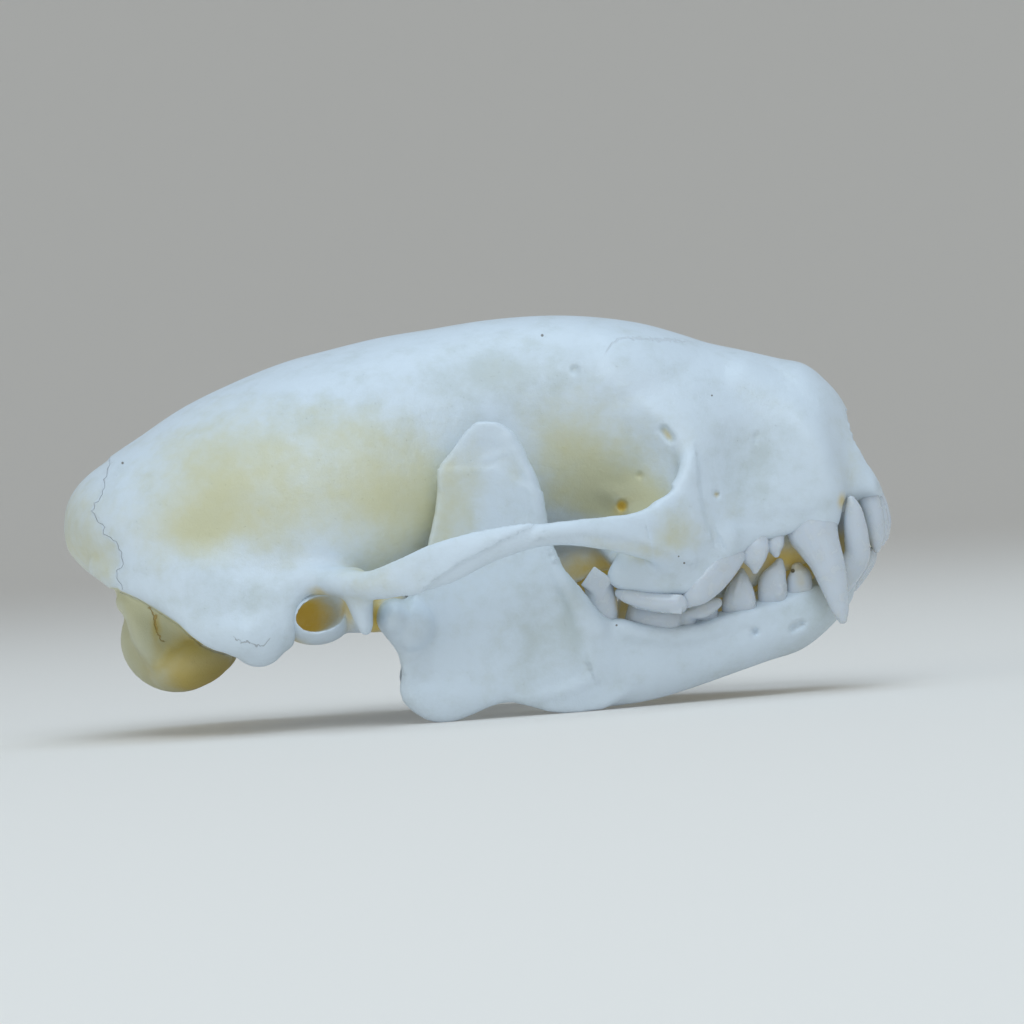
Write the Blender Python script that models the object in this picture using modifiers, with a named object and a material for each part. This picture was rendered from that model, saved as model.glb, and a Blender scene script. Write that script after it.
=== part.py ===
"""Striped skunk skull with its lower jaw shut, life size, lying on its jaw.

Shapes are laid out in the skull's own frame: x towards the nose, y to the animal's left, z up, in
millimetres, with z = 0 under the jaw's angle. Outlines are laid out as the right side looks from
SIGHT away, slightly from behind, and from_sight() brings each point back to where it is. stand()
then turns the whole skull nose down onto its jaw, so that the lowest points of the jaw are level,
and moves its bounding box over the origin.
"""

import math

import bmesh
import bpy
import numpy as np
from mathutils import Euler, Matrix, Vector

MM = 0.001
SIGHT = 400.0  # mm from the midline to the eye
SIGHT_YAW = math.radians(1.5)  # how far behind square the eye is
SIGHT_CENTRE = (2.88, 18.9)  # x and z straight ahead of the eye
REST_TILT = math.radians(3.8)  # nose down, from the skull's own frame to the way it rests
REST_SHIFT = (-0.97, 0.0, -0.88)  # mm, added after the tilt; sinks the jaw's lowest points a little
GAP = 0.3  # between nodes that meet
VOXEL = 0.40
SIDES = {"left": 1, "right": -1}

BONE = (0.86, 0.86, 0.80)
ENAMEL_BONE = (0.88, 0.88, 0.84)

# Braincase and forehead: x, top, underside, half width, height of the widest point, and the
# powers that shape the upper and the lower half of the section.
BRAINCASE = (
    (-37.35, 17.9, 17.1, 0.5, 17.5, 2.0, 2.0),
    (-37.10, 19.5, 15.7, 3.2, 17.5, 2.0, 2.0),
    (-36.25, 21.1, 14.5, 5.9, 17.3, 2.0, 2.0),
    (-35.10, 22.3, 13.4, 8.2, 17.0, 2.0, 2.0),
    (-33.20, 23.7, 12.3, 10.5, 16.5, 2.0, 2.5),
    (-30.50, 25.7, 9.8, 12.6, 15.5, 2.0, 3.0),
    (-26.50, 28.4, 7.0, 14.1, 14.5, 2.05, 3.0),
    (-22.00, 30.6, 7.0, 15.0, 14.5, 2.1, 2.9),
    (-17.50, 32.4, 8.4, 15.3, 15.0, 2.1, 2.6),
    (-13.50, 33.5, 9.3, 15.0, 16.0, 2.1, 2.6),
    (-9.00, 34.6, 10.2, 14.1, 17.5, 2.1, 2.4),
    (-4.50, 35.35, 11.2, 12.6, 19.5, 2.1, 2.3),
    (0.00, 36.1, 12.2, 11.0, 22.0, 2.15, 2.2),
    (4.00, 36.5, 13.0, 10.0, 25.0, 2.2, 2.0),
    (7.50, 36.6, 13.4, 9.7, 27.5, 2.2, 2.0),
    (11.00, 36.4, 13.6, 10.3, 29.5, 2.2, 1.9),
    (14.50, 35.9, 13.8, 10.2, 28.5, 2.2, 2.0),
    (18.50, 34.8, 14.4, 9.3, 27.0, 2.2, 2.0),
    (22.00, 33.6, 15.2, 7.8, 25.0, 2.2, 2.0),
)
# Muzzle and upper jaw, in the same columns.
MUZZLE = (
    (10.3, 35.0, 15.6, 11.4, 18.5, 2.2, 3.0),
    (12.5, 35.4, 13.2, 12.6, 17.0, 2.2, 3.5),
    (15.5, 35.3, 11.8, 13.2, 16.5, 2.2, 3.5),
    (18.4, 34.7, 11.7, 12.9, 17.0, 2.2, 3.5),
    (21.0, 34.05, 13.2, 11.6, 18.0, 2.2, 3.5),
    (23.5, 33.55, 15.1, 10.2, 19.0, 2.2, 3.5),
    (27.0, 32.75, 16.5, 9.2, 20.0, 2.25, 3.5),
    (29.2, 32.0, 17.2, 9.1, 20.3, 2.3, 3.2),
    (31.2, 30.5, 17.9, 8.9, 20.5, 2.3, 3.0),
    (32.4, 29.2, 18.6, 7.4, 20.9, 2.2, 2.6),
    (33.3, 27.6, 19.1, 5.6, 21.3, 2.2, 2.4),
    (34.6, 24.7, 19.7, 5.0, 21.2, 2.2, 2.4),
    (36.0, 21.8, 20.0, 4.0, 20.8, 2.1, 2.4),
    (36.35, 21.1, 20.1, 3.0, 20.5, 2.1, 2.4),
)
# Hollow of the braincase, in the same columns, a bone's thickness inside it.
BRAIN_CAVITY = (
    (-35.2, 18.6, 16.6, 1.2, 17.5, 2.0, 2.0),
    (-34.4, 20.6, 14.9, 4.6, 17.5, 2.0, 2.0),
    (-32.0, 22.6, 13.0, 8.4, 17.3, 2.0, 2.0),
    (-29.0, 24.9, 11.0, 10.9, 16.6, 2.0, 2.1),
    (-24.0, 28.2, 9.8, 13.0, 16.0, 2.0, 2.2),
    (-17.5, 30.7, 10.8, 13.8, 16.5, 2.1, 2.4),
    (-11.0, 32.6, 12.0, 13.1, 18.0, 2.1, 2.3),
    (-5.0, 33.8, 13.6, 11.2, 20.5, 2.1, 2.2),
    (0.0, 34.2, 15.8, 9.2, 23.5, 2.1, 2.0),
    (3.0, 33.0, 19.4, 6.6, 25.5, 2.0, 2.0),
    (4.2, 29.6, 22.8, 3.0, 26.2, 2.0, 2.0),
)
# Vault of the palate, cut from below, in the same columns.
PALATE_VAULT = (
    (8.5, 14.0, 5.0, 4.6, 9.0, 3.0, 2.0),
    (12.0, 14.1, 6.0, 8.0, 10.4, 2.6, 2.0),
    (17.0, 15.0, 7.0, 9.8, 11.6, 2.6, 2.0),
    (21.0, 16.2, 9.0, 8.4, 12.8, 2.6, 2.0),
    (25.0, 17.4, 11.0, 6.6, 14.0, 2.6, 2.0),
    (29.0, 18.4, 13.0, 5.4, 15.5, 2.4, 2.0),
    (33.0, 19.5, 15.5, 3.4, 17.3, 2.2, 2.0),
    (34.6, 19.6, 18.0, 1.6, 18.8, 2.2, 2.0),
)
# Limbs are lofted along a path: x, y, z, half height, half thickness.
CHEEKBONE = (
    (20.2, 10.6, 17.0, 4.9, 1.2),
    (18.6, 12.6, 16.9, 4.7, 1.2),
    (16.4, 14.6, 16.6, 3.0, 1.15),
    (14.2, 16.2, 16.6, 1.9, 1.0),
    (10.8, 17.9, 16.8, 1.3, 0.9),
    (5.9, 19.8, 16.85, 1.1, 0.85),
    (1.0, 21.2, 15.9, 1.6, 0.85),
    (-3.6, 21.8, 14.2, 2.1, 0.85),
    (-7.2, 21.2, 12.95, 1.75, 1.0),
    (-9.8, 19.4, 12.3, 1.35, 1.5),
    (-12.0, 16.8, 12.5, 1.3, 2.2),
    (-14.0, 13.8, 12.8, 1.3, 2.6),
)
NUCHAL_CREST = (
    (-34.4, 7.2, 14.2, 1.2, 0.9),
    (-32.6, 9.6, 13.2, 1.5, 1.0),
    (-30.6, 11.6, 11.8, 1.8, 1.1),
    (-27.5, 13.8, 9.8, 2.0, 1.2),
    (-24.0, 15.2, 8.2, 2.0, 1.4),
    (-20.8, 16.0, 7.7, 2.0, 1.7),
)
EAR_RIDGE = (
    (-12.5, 15.6, 13.2, 0.8, 1.2),
    (-15.5, 15.9, 12.4, 0.8, 1.2),
    (-19.0, 16.0, 11.2, 0.8, 1.3),
    (-23.0, 15.2, 10.6, 0.9, 1.2),
)
POSTGLENOID = (
    (-10.4, 11.6, 11.2, 1.2, 0.9),
    (-10.5, 13.6, 10.4, 2.2, 0.85),
    (-10.5, 16.4, 10.1, 2.45, 0.8),
    (-10.4, 18.6, 10.6, 1.9, 0.75),
    (-10.0, 19.9, 12.0, 0.9, 0.6),
)
PARACONDYLAR = (
    (-26.6, 10.6, 10.2, 2.2, 0.8),
    (-28.2, 10.4, 8.0, 1.6, 0.7),
    (-29.4, 10.0, 5.4, 0.5, 0.5),
)
PTERYGOID = (
    (11.0, 4.3, 14.4, 2.0, 0.55),
    (6.0, 4.0, 13.4, 2.2, 0.5),
    (1.0, 3.7, 12.4, 2.1, 0.5),
    (-2.4, 3.5, 11.2, 1.9, 0.5),
    (-4.0, 3.7, 10.0, 0.9, 0.45),
)
# Jaw body, one side.
JAW_BODY = (
    (33.0, 2.4, 12.7, 0.9, 2.3),
    (32.3, 2.6, 11.9, 1.5, 2.8),
    (31.2, 3.0, 11.05, 1.9, 3.1),
    (29.8, 3.7, 10.15, 2.25, 3.0),
    (28.0, 4.6, 9.2, 2.7, 2.7),
    (25.2, 6.1, 8.15, 2.85, 2.15),
    (21.7, 7.4, 7.0, 2.95, 1.85),
    (18.0, 8.5, 5.9, 3.15, 1.85),
    (14.2, 9.7, 5.05, 3.4, 1.8),
    (10.6, 10.8, 5.45, 4.4, 1.6),
    (7.0, 11.8, 6.2, 5.4, 1.1),
)
# Ramus outline in the x-z plane: the front edge up, the coronoid, the notch, the condyle's neck,
# the angle and the lower border.
RAMUS = (
    (12.5, 8.8), (10.0, 10.8), (8.4, 12.8), (7.0, 14.6), (6.2, 16.6), (5.6, 19.0), (5.0, 21.8),
    (4.0, 24.7), (2.9, 26.2), (1.7, 27.0), (-0.3, 27.1), (-1.8, 25.7), (-3.3, 23.4), (-3.7, 21.4),
    (-4.0, 18.8), (-4.8, 15.6), (-5.9, 12.4), (-6.8, 10.6), (-8.4, 10.0), (-8.5, 8.0), (-7.3, 6.0),
    (-7.1, 4.3), (-7.35, 2.9), (-6.95, 1.8), (-6.0, 0.9), (-4.8, 0.15), (-3.5, -0.15), (-2.2, 0.0),
    (-0.8, 0.55), (0.9, 1.3), (3.0, 1.7), (5.6, 0.95), (8.0, 0.7), (11.0, 1.1), (13.5, 2.3),
)
RAMUS_HALF_THICKNESS = 0.62
CORONOID_EDGE = (
    (1.6, 13.9, 25.6, 0.6, 0.75),
    (4.2, 13.7, 22.6, 0.7, 0.8),
    (5.3, 13.4, 19.0, 0.75, 0.9),
    (6.4, 13.0, 15.4, 0.8, 1.0),
    (8.6, 12.3, 11.6, 1.0, 1.3),
    (10.6, 11.4, 8.2, 1.3, 1.6),
)
ANGLE_RIDGE = (
    (9.0, 12.0, 2.4, 1.5, 1.4),
    (4.0, 12.9, 2.9, 1.2, 1.2),
    (1.4, 13.3, 2.6, 1.1, 1.15),
    (-1.0, 13.7, 1.9, 1.3, 1.1),
    (-4.0, 14.2, 1.15, 1.3, 1.0),
    (-5.7, 14.5, 2.0, 1.0, 0.85),
)
CONDYLE_NECK = (
    (-2.5, 13.5, 7.6, 2.2, 0.9),
    (-5.4, 14.2, 8.5, 1.7, 1.3),
    (-7.4, 14.8, 9.2, 1.3, 2.2),
)
JAW_MIDLINE_GAP = 0.15  # from the midline to each half of the jaw

# Teeth of one side, each cusp a tapering stub: root x, y, z, tip x, y, z, half length, half width
# and fullness, which keeps the stub wide towards its tip.
UPPER_INCISORS = (
    (35.8, 0.85, 20.8, 36.7, 0.85, 16.3, 0.85, 0.72, 0.6),
    (35.2, 2.35, 20.8, 36.4, 2.35, 16.0, 0.90, 0.70, 0.6),
    (34.4, 3.80, 20.7, 35.7, 3.85, 15.5, 0.95, 0.64, 0.5),
)
UPPER_CANINE = (29.9, 7.3, 19.0, 32.85, 8.3, 8.65, 2.45, 1.45, 0.14)
UPPER_CANINE_BOW = 0.55
UPPER_CHEEK_CUSPS = (
    (26.6, 8.1, 17.9, 26.6, 8.3, 14.8, 1.10, 0.65, 0.40),
    (24.6, 8.9, 17.2, 24.5, 9.2, 13.3, 1.50, 0.85, 0.25),
    (22.2, 10.5, 16.2, 21.7, 11.0, 10.9, 1.90, 0.85, 0.30),
    (19.9, 11.4, 15.0, 19.6, 11.6, 10.2, 2.10, 0.85, 0.50),
    (21.7, 8.6, 15.8, 21.8, 8.5, 13.4, 1.00, 1.10, 0.40),
    (16.8, 11.8, 14.0, 16.7, 12.4, 9.4, 1.85, 1.05, 0.60),
    (13.9, 11.9, 14.4, 13.7, 12.4, 10.4, 1.90, 1.00, 0.60),
    (14.9, 9.8, 14.6, 14.9, 9.5, 12.0, 1.70, 1.70, 0.60),
)
LOWER_INCISORS = (
    (33.0, 0.80, 12.3, 35.4, 0.75, 15.4, 0.75, 0.42, 0.7),
    (32.9, 1.75, 12.2, 35.3, 1.75, 15.4, 0.75, 0.42, 0.7),
    (32.8, 2.75, 12.2, 35.1, 2.70, 15.3, 0.75, 0.42, 0.7),
)
LOWER_CANINE = (31.9, 4.6, 11.4, 33.7, 6.5, 20.3, 1.45, 1.0, 0.16)
LOWER_CANINE_BOW = 1.2
LOWER_CHEEK_CUSPS = (
    (28.8, 5.8, 10.8, 28.9, 6.0, 14.7, 1.35, 0.75, 0.60),
    (26.3, 6.4, 9.8, 27.0, 6.6, 14.6, 1.60, 0.80, 0.40),
    (23.2, 7.0, 8.9, 23.7, 7.1, 13.8, 1.85, 0.85, 0.30),
    (20.2, 7.8, 8.2, 20.4, 7.9, 12.5, 1.60, 0.95, 0.45),
    (17.8, 8.1, 7.6, 18.1, 8.2, 12.9, 1.70, 1.00, 0.35),
    (14.8, 9.0, 7.2, 14.7, 9.0, 11.2, 2.40, 1.30, 0.80),
    (10.4, 10.6, 8.0, 10.5, 10.8, 14.0, 1.60, 1.20, 0.70),
)


def clear_scene():
    for obj in list(bpy.data.objects):
        bpy.data.objects.remove(obj)


def material(name, colour):
    made = bpy.data.materials.new(name)
    made.use_nodes = True
    shader = made.node_tree.nodes["Principled BSDF"]
    shader.inputs["Base Color"].default_value = (*colour, 1.0)
    shader.inputs["Roughness"].default_value = 0.5
    shader.inputs["Metallic"].default_value = 0.0
    return made


def smooth_rows(table, steps):
    """The table's rows with steps rows to each interval, on a smooth curve through them."""
    rows = np.array(table, float)
    place = np.concatenate([[0], np.cumsum(np.linalg.norm(np.diff(rows[:, :3], axis=0), axis=1))])
    slope = np.gradient(rows, place, axis=0)
    made = [rows[0]]
    for i in range(len(rows) - 1):
        span = place[i + 1] - place[i]
        for step in range(1, steps + 1):
            t = step / steps
            made.append(
                (2 * t**3 - 3 * t**2 + 1) * rows[i]
                + (t**3 - 2 * t**2 + t) * span * slope[i]
                + (3 * t**2 - 2 * t**3) * rows[i + 1]
                + (t**3 - t**2) * span * slope[i + 1]
            )
    return made


def add_loft(bm, rings):
    """A closed skin over rings of points, each ring with the same count, capped at both ends."""
    rows = [[bm.verts.new(Vector(point) * MM) for point in ring] for ring in rings]
    count = len(rows[0])
    for low, high in zip(rows, rows[1:]):
        for i in range(count):
            j = (i + 1) % count
            bm.faces.new((low[i], low[j], high[j], high[i]))
    bm.faces.new(rows[0][::-1])
    bm.faces.new(rows[-1])


def add_sections(bm, table, steps=3, count=40):
    """A loft of upright sections across x, alike on both sides of the midline."""
    rings = []
    for x, top, low, width, middle, upper, lower in smooth_rows(table, steps):
        ring = []
        for i in range(count):
            angle = 2 * math.pi * i / count
            side, rise = math.sin(angle), math.cos(angle)
            power = upper if rise > 0 else lower
            reach = top - middle if rise > 0 else middle - low
            y = width * math.copysign(abs(side) ** (2 / power), side)
            ring.append((x, y, middle + reach * math.copysign(abs(rise) ** (2 / power), rise)))
        rings.append(ring)
    add_loft(bm, rings)


def add_limb(bm, table, side=1, steps=3, count=16, up=(0, 0, 1)):
    """A loft of ellipses square to a path, with its half heights upright and its ends rounded."""
    rows = np.array(smooth_rows(table, steps))
    rows[:, 1] *= side
    along = np.gradient(rows[:, :3], axis=0)
    rings = []
    for place, (point, way) in enumerate(zip(rows, along)):
        way = Vector(way).normalized()
        across = way.cross(Vector(up)).normalized()
        rise = across.cross(way)
        ends = [(0, 0.55), (0, 0.85)] if place == 0 else []
        turns = [0.3, 0.75, 1.0] if place == 0 else [1.0]
        if place == len(rows) - 1:
            turns = [1.0, 0.75, 0.3]
        for size in turns:
            slide = math.sqrt(1 - size**2) * min(point[3], point[4])
            slide = -slide if place == 0 else slide
            centre = Vector(point[:3]) + way * slide
            rings.append(
                [
                    centre
                    + rise * point[3] * size * math.cos(2 * math.pi * i / count)
                    + across * point[4] * size * math.sin(2 * math.pi * i / count)
                    for i in range(count)
                ]
            )
    add_loft(bm, rings)


def add_ball(bm, centre, radii, turn=(0, 0, 0), segments=24):
    place = Matrix.Translation(Vector(centre) * MM) @ Euler(turn).to_matrix().to_4x4()
    place = place @ Matrix.Diagonal((*(Vector(radii) * MM), 1))
    bmesh.ops.create_uvsphere(bm, u_segments=segments, v_segments=segments // 2, radius=1, matrix=place)


def add_block(bm, centre, size, turn=(0, 0, 0)):
    place = Matrix.Translation(Vector(centre) * MM) @ Euler(turn).to_matrix().to_4x4()
    bmesh.ops.create_cube(bm, size=1, matrix=place @ Matrix.Diagonal((*(Vector(size) * MM), 1)))


def add_plate(bm, outline, thickness, place):
    """An outline in the x-z plane given thickness, each point moved sideways by place(x, z)."""
    rings = [
        [(x, place(x, z) + offset, z) for x, z in outline] for offset in (-thickness, thickness)
    ]
    add_loft(bm, rings)


def finish(bm, name):
    """The object that holds the mesh, with every face pointing out."""
    bmesh.ops.recalc_face_normals(bm, faces=bm.faces)
    mesh = bpy.data.meshes.new(name)
    bm.to_mesh(mesh)
    bm.free()
    obj = bpy.data.objects.new(name, mesh)
    bpy.context.scene.collection.objects.link(obj)
    return obj


def apply_modifiers(obj):
    graph = bpy.context.evaluated_depsgraph_get()
    mesh = bpy.data.meshes.new_from_object(obj.evaluated_get(graph))
    obj.modifiers.clear()
    obj.data = mesh


def cut(obj, operation, others, solver="MANIFOLD"):
    """One Boolean of obj with every object of a list, which is then removed."""
    tools = bpy.data.collections.new("tools")
    bpy.context.scene.collection.children.link(tools)
    for other in others:
        bpy.context.scene.collection.objects.unlink(other)
        tools.objects.link(other)
    boolean = obj.modifiers.new(operation, "BOOLEAN")
    boolean.operation = operation
    boolean.operand_type = "COLLECTION"
    boolean.collection = tools
    boolean.solver = solver
    apply_modifiers(obj)
    for other in others:
        bpy.data.objects.remove(other)
    bpy.data.collections.remove(tools)


def grow_together(obj, smoothing, voxel=VOXEL):
    """Fuses the shapes in obj into one skin and rounds the creases where they meet."""
    remesh = obj.modifiers.new("Remesh", "REMESH")
    remesh.mode = "VOXEL"
    remesh.voxel_size = voxel * MM
    smooth = obj.modifiers.new("Smooth", "SMOOTH")
    smooth.factor = 0.5
    smooth.iterations = smoothing
    apply_modifiers(obj)


def thin_out(obj, triangles):
    """Keeps about this many triangles, fewest where the surface is flattest."""
    obj.data.calc_loop_triangles()
    decimate = obj.modifiers.new("Decimate", "DECIMATE")
    decimate.ratio = triangles / len(obj.data.loop_triangles)
    apply_modifiers(obj)


def islands(obj):
    """The separate closed surfaces of an object's mesh, each as its own bmesh, largest first."""
    whole = bmesh.new()
    whole.from_mesh(obj.data)
    seen, groups = set(), []
    for start in whole.verts:
        if start.index in seen:
            continue
        group, wave = {start.index}, [start]
        while wave:
            vert = wave.pop()
            for edge in vert.link_edges:
                other = edge.other_vert(vert)
                if other.index not in group:
                    group.add(other.index)
                    wave.append(other)
        seen |= group
        groups.append(group)
    groups.sort(key=len, reverse=True)
    made = []
    for group in groups:
        part = whole.copy()
        doomed = [vert for vert in part.verts if vert.index not in group]
        bmesh.ops.delete(part, geom=doomed, context="VERTS")
        made.append(part)
    whole.free()
    return made


def keep_largest(obj):
    parts = islands(obj)
    parts[0].to_mesh(obj.data)
    for part in parts:
        part.free()


def bone_of(adders, name, smoothing=8, voxel=VOXEL):
    bm = bmesh.new()
    for add in adders:
        add(bm)
    obj = finish(bm, name)
    grow_together(obj, smoothing, voxel)
    return obj


def shape(name, add, *args, **sizes):
    bm = bmesh.new()
    add(bm, *args, **sizes)
    return finish(bm, name)


def muzzle_shell():
    """The muzzle, with the front of each orbit cut from its back."""
    muzzle = shape("muzzle", add_sections, MUZZLE)
    orbits = [
        shape("orbit", add_ball, (9.5, side * 17.0, 21.2), (12.3, 8.4, 11.6), segments=40)
        for side in SIDES.values()
    ]
    cut(muzzle, "DIFFERENCE", orbits)
    return muzzle


def whole_cranium():
    """Braincase, muzzle, cheekbones and the processes of the skull base, fused."""
    bm = bmesh.new()
    add_sections(bm, BRAINCASE)
    muzzle = muzzle_shell()
    bm.from_mesh(muzzle.data)
    bpy.data.objects.remove(muzzle)
    for side in SIDES.values():
        add_limb(bm, CHEEKBONE, side)
        add_ball(bm, (15.9, side * 10.9, 14.0), (3.7, 2.5, 2.9))
        add_ball(bm, (-27.5, side * 5.9, 7.35), (5.2, 3.6, 4.75), turn=(0, 0.25, 0))
        add_ball(bm, (-30.6, side * 3.6, 10.7), (1.5, 3.0, 1.5))
        add_ball(bm, (-19.9, side * 16.2, 8.0), (2.6, 2.2, 3.0))
        add_ball(bm, (-17.4, side * 15.6, 8.8), (1.8, 1.8, 2.1))
        add_limb(bm, NUCHAL_CREST, side)
        add_limb(bm, EAR_RIDGE, side)
        add_limb(bm, POSTGLENOID, side)
        add_limb(bm, PARACONDYLAR, side)
        add_limb(bm, PTERYGOID, side)
        add_ball(bm, (11.6, side * 7.9, 31.2), (4.4, 2.3, 1.9), turn=(0, 0.25, 0))
        add_ball(bm, (30.4, side * 7.2, 21.5), (2.2, 1.9, 4.6), turn=(0, -0.2, 0))
    cranium = finish(bm, "cranium")
    grow_together(cranium, 8)
    return cranium


def bulla(side, name, swell=0.0):
    """Ear capsule with the rim of the ear canal."""

    def add(bm):
        add_ball(bm, (-14.3, side * 9.6, 10.4), (4.2 + swell, 4.3 + swell, 2.9 + swell))
        rim = (
            (-14.2, 10.5, 9.5, 2.6 + swell, 2.4 + swell),
            (-14.9, 14.0, 9.35, 2.7 + swell, 2.45 + swell),
            (-15.0, 16.7 + swell, 9.4, 2.7 + swell, 2.4 + swell),
        )
        add_limb(bm, rim, side)

    return bone_of([add], name, smoothing=4)


def open_the_cranium(cranium):
    """Cuts the hollow of the braincase with its way out, the nose, the palate and the throat."""
    cutters = [
        shape("cavity", add_sections, BRAIN_CAVITY, steps=1, count=24),
        shape(
            "foramen_magnum",
            add_limb,
            ((-25.0, 0, 13.2, 3.4, 4.6), (-28.6, 0, 9.9, 3.5, 4.5), (-34.6, 0, 4.6, 3.9, 4.6)),
            count=16,
            steps=1,
            up=(0.65, 0, -0.76),
        ),
        shape("palate", add_sections, PALATE_VAULT, steps=1, count=20),
        shape(
            "throat",
            add_limb,
            ((12.5, 0, 12.0, 2.8, 3.1), (4.0, 0, 11.4, 3.0, 2.9), (-4.5, 0, 9.0, 2.6, 2.7)),
            count=16,
            steps=2,
        ),
    ]
    for side in SIDES.values():
        cutters.append(
            shape(
                "nostril",
                add_limb,
                (
                    (25.5, 2.1, 22.2, 3.0, 1.5),
                    (29.5, 2.3, 24.3, 3.8, 1.8),
                    (33.0, 2.5, 26.2, 4.3, 2.1),
                    (36.5, 2.6, 28.2, 4.4, 2.2),
                ),
                side,
                count=16,
                steps=1,
            )
        )
    cut(cranium, "DIFFERENCE", cutters)


def slab(name, centre, size, turn):
    """A thin cutter that parts two nodes."""
    return shape(name, add_block, centre, size, turn)


def part_cranium(cranium):
    """Parts the cranium with thin cuts and returns its pieces by name."""
    cuts = [slab("brow_cut", (5.2, 0, 25.0), (GAP, 24.0, 34.0), (0, 0.1, 0))]
    for side in SIDES.values():
        cuts += [
            slab("root_cut", (14.9, side * 15.7, 16.6), (GAP, 9.0, 9.0), (0, 0, side * -0.52)),
            slab("suture_cut", (0.4, side * 21.0, 14.75), (17.0, 6.0, GAP), (0, -0.48, side * -0.16)),
            slab("ear_cut", (-9.7, side * 19.5, 12.3), (GAP, 5.5, 7.0), (0, 0, side * 0.75)),
        ]
    cut(cranium, "DIFFERENCE", cuts)
    pieces = {}
    for part in islands(cranium):
        centre = sum((vert.co for vert in part.verts), Vector()) / len(part.verts) / MM
        if abs(centre.y) < 3:
            name = "face" if centre.x > 5 else "braincase"
        else:
            side = "left" if centre.y > 0 else "right"
            name = ("jugal_" if centre.x > 2.5 else "squamosal_arch_") + side
        if name in pieces:
            part.free()
            continue
        pieces[name] = finish(part, name)
    bpy.data.objects.remove(cranium)
    return pieces


def part_occiput(braincase):
    """Parts the back of the skull from the braincase along a round suture."""
    centre, radius = (-40.5, 0, 4.5), 19.6

    def barrel(name, reach):
        bm = bmesh.new()
        turn = Matrix.Rotation(math.pi / 2, 4, "X")
        place = Matrix.Translation(Vector(centre) * MM) @ turn
        bmesh.ops.create_cone(
            bm,
            cap_ends=True,
            segments=64,
            radius1=reach * MM,
            radius2=reach * MM,
            depth=50 * MM,
            matrix=place,
        )
        return finish(bm, name)

    occiput = braincase.copy()
    occiput.data = braincase.data.copy()
    occiput.name = "occiput"
    bpy.context.scene.collection.objects.link(occiput)
    cut(occiput, "INTERSECT", [barrel("inside", radius - GAP / 2)])
    cut(braincase, "DIFFERENCE", [barrel("outside", radius + GAP / 2)])
    keep_largest(occiput)
    keep_largest(braincase)
    return occiput


def jaw_lean(x, z):
    """How far to the side the flat of the jaw stands."""
    return 13.9 - 0.17 * max(x - 1.0, 0) - 0.004 * max(x - 1.0, 0) ** 2 + 0.02 * (z - 12)


def jaw_half(side, name):
    """One half of the lower jaw without its teeth."""

    def add(bm):
        add_limb(bm, JAW_BODY, side)
        outline = [(row[0], row[1]) for row in RAMUS]
        add_plate(bm, outline, RAMUS_HALF_THICKNESS, lambda x, z: side * jaw_lean(x, z))
        add_limb(bm, CORONOID_EDGE, side)
        add_limb(bm, ANGLE_RIDGE, side)
        add_limb(bm, CONDYLE_NECK, side)
        add_ball(bm, (-7.9, side * 15.1, 9.3), (1.5, 3.9, 1.5), segments=20)

    jaw = bone_of([add], name, smoothing=5)
    thin_out(jaw, 1300)
    middle = shape("middle", add_block, (20, -side * 10, 10), (80, 20 + 2 * JAW_MIDLINE_GAP, 60))
    cut(jaw, "DIFFERENCE", [middle])
    keep_largest(jaw)
    return jaw


def tooth(name, sizes, side, bow=0.0, count=10, rings=3):
    """A stub of elliptical rings from root to tip, bowed forwards by bow, with a blunt end."""
    root, tip = Vector(sizes[:3]), Vector(sizes[3:6])
    length, width, full = sizes[6:9]
    root.y *= side
    tip.y *= side
    way = (tip - root).normalized()
    fore = Vector((1, 0, 0))
    fore = (fore - way * fore.dot(way)).normalized()
    across = way.cross(fore)
    made = []
    for step in range(rings + 1):
        t = (step / rings) ** 0.8
        size = 0.1 + 0.15 * full + (0.9 - 0.15 * full) * (1 - t ** (1.3 + 3 * full))
        centre = root.lerp(tip, t) + fore * bow * math.sin(math.pi * t)
        made.append(
            [
                centre
                + fore * length * size * math.cos(2 * math.pi * i / count)
                + across * width * size * math.sin(2 * math.pi * i / count)
                for i in range(count)
            ]
        )
    bm = bmesh.new()
    add_loft(bm, made)
    return finish(bm, name)


def teeth(side, incisors, canine, bow, cusps):
    made = [tooth("incisor", sizes, side, count=8, rings=2) for sizes in incisors]
    made.append(tooth("canine", canine, side, bow=bow, count=10, rings=6))
    made += [tooth("cusp", sizes, side, count=8, rings=3) for sizes in cusps]
    return made


def set_teeth(obj, made):
    cut(obj, "UNION", made)
    keep_largest(obj)


def from_sight(co):
    """Where a point is that the lay-out shows at co: the near side looks larger and further on."""
    near = abs(co.y)
    shrink = 1 - near / (SIGHT * MM)
    x, z = (centre * MM for centre in SIGHT_CENTRE)
    return Vector(
        (x + (co.x - x) * shrink - near * math.sin(SIGHT_YAW), co.y, z + (co.z - z) * shrink)
    )


def stand(nodes):
    """Turns the skull onto its jaw, puts it over the origin and shaves the jaw flat at the floor."""
    turn = Matrix.Rotation(REST_TILT, 4, "Y")
    move = Matrix.Translation(Vector(REST_SHIFT) * MM)
    for obj in nodes:
        for vert in obj.data.vertices:
            vert.co = move @ turn @ from_sight(vert.co)
    for obj in nodes:
        if obj.name.startswith("jaw"):
            floor = shape("floor", add_block, (0, 0, -10), (200, 200, 20))
            cut(obj, "DIFFERENCE", [floor])
            keep_largest(obj)


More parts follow.
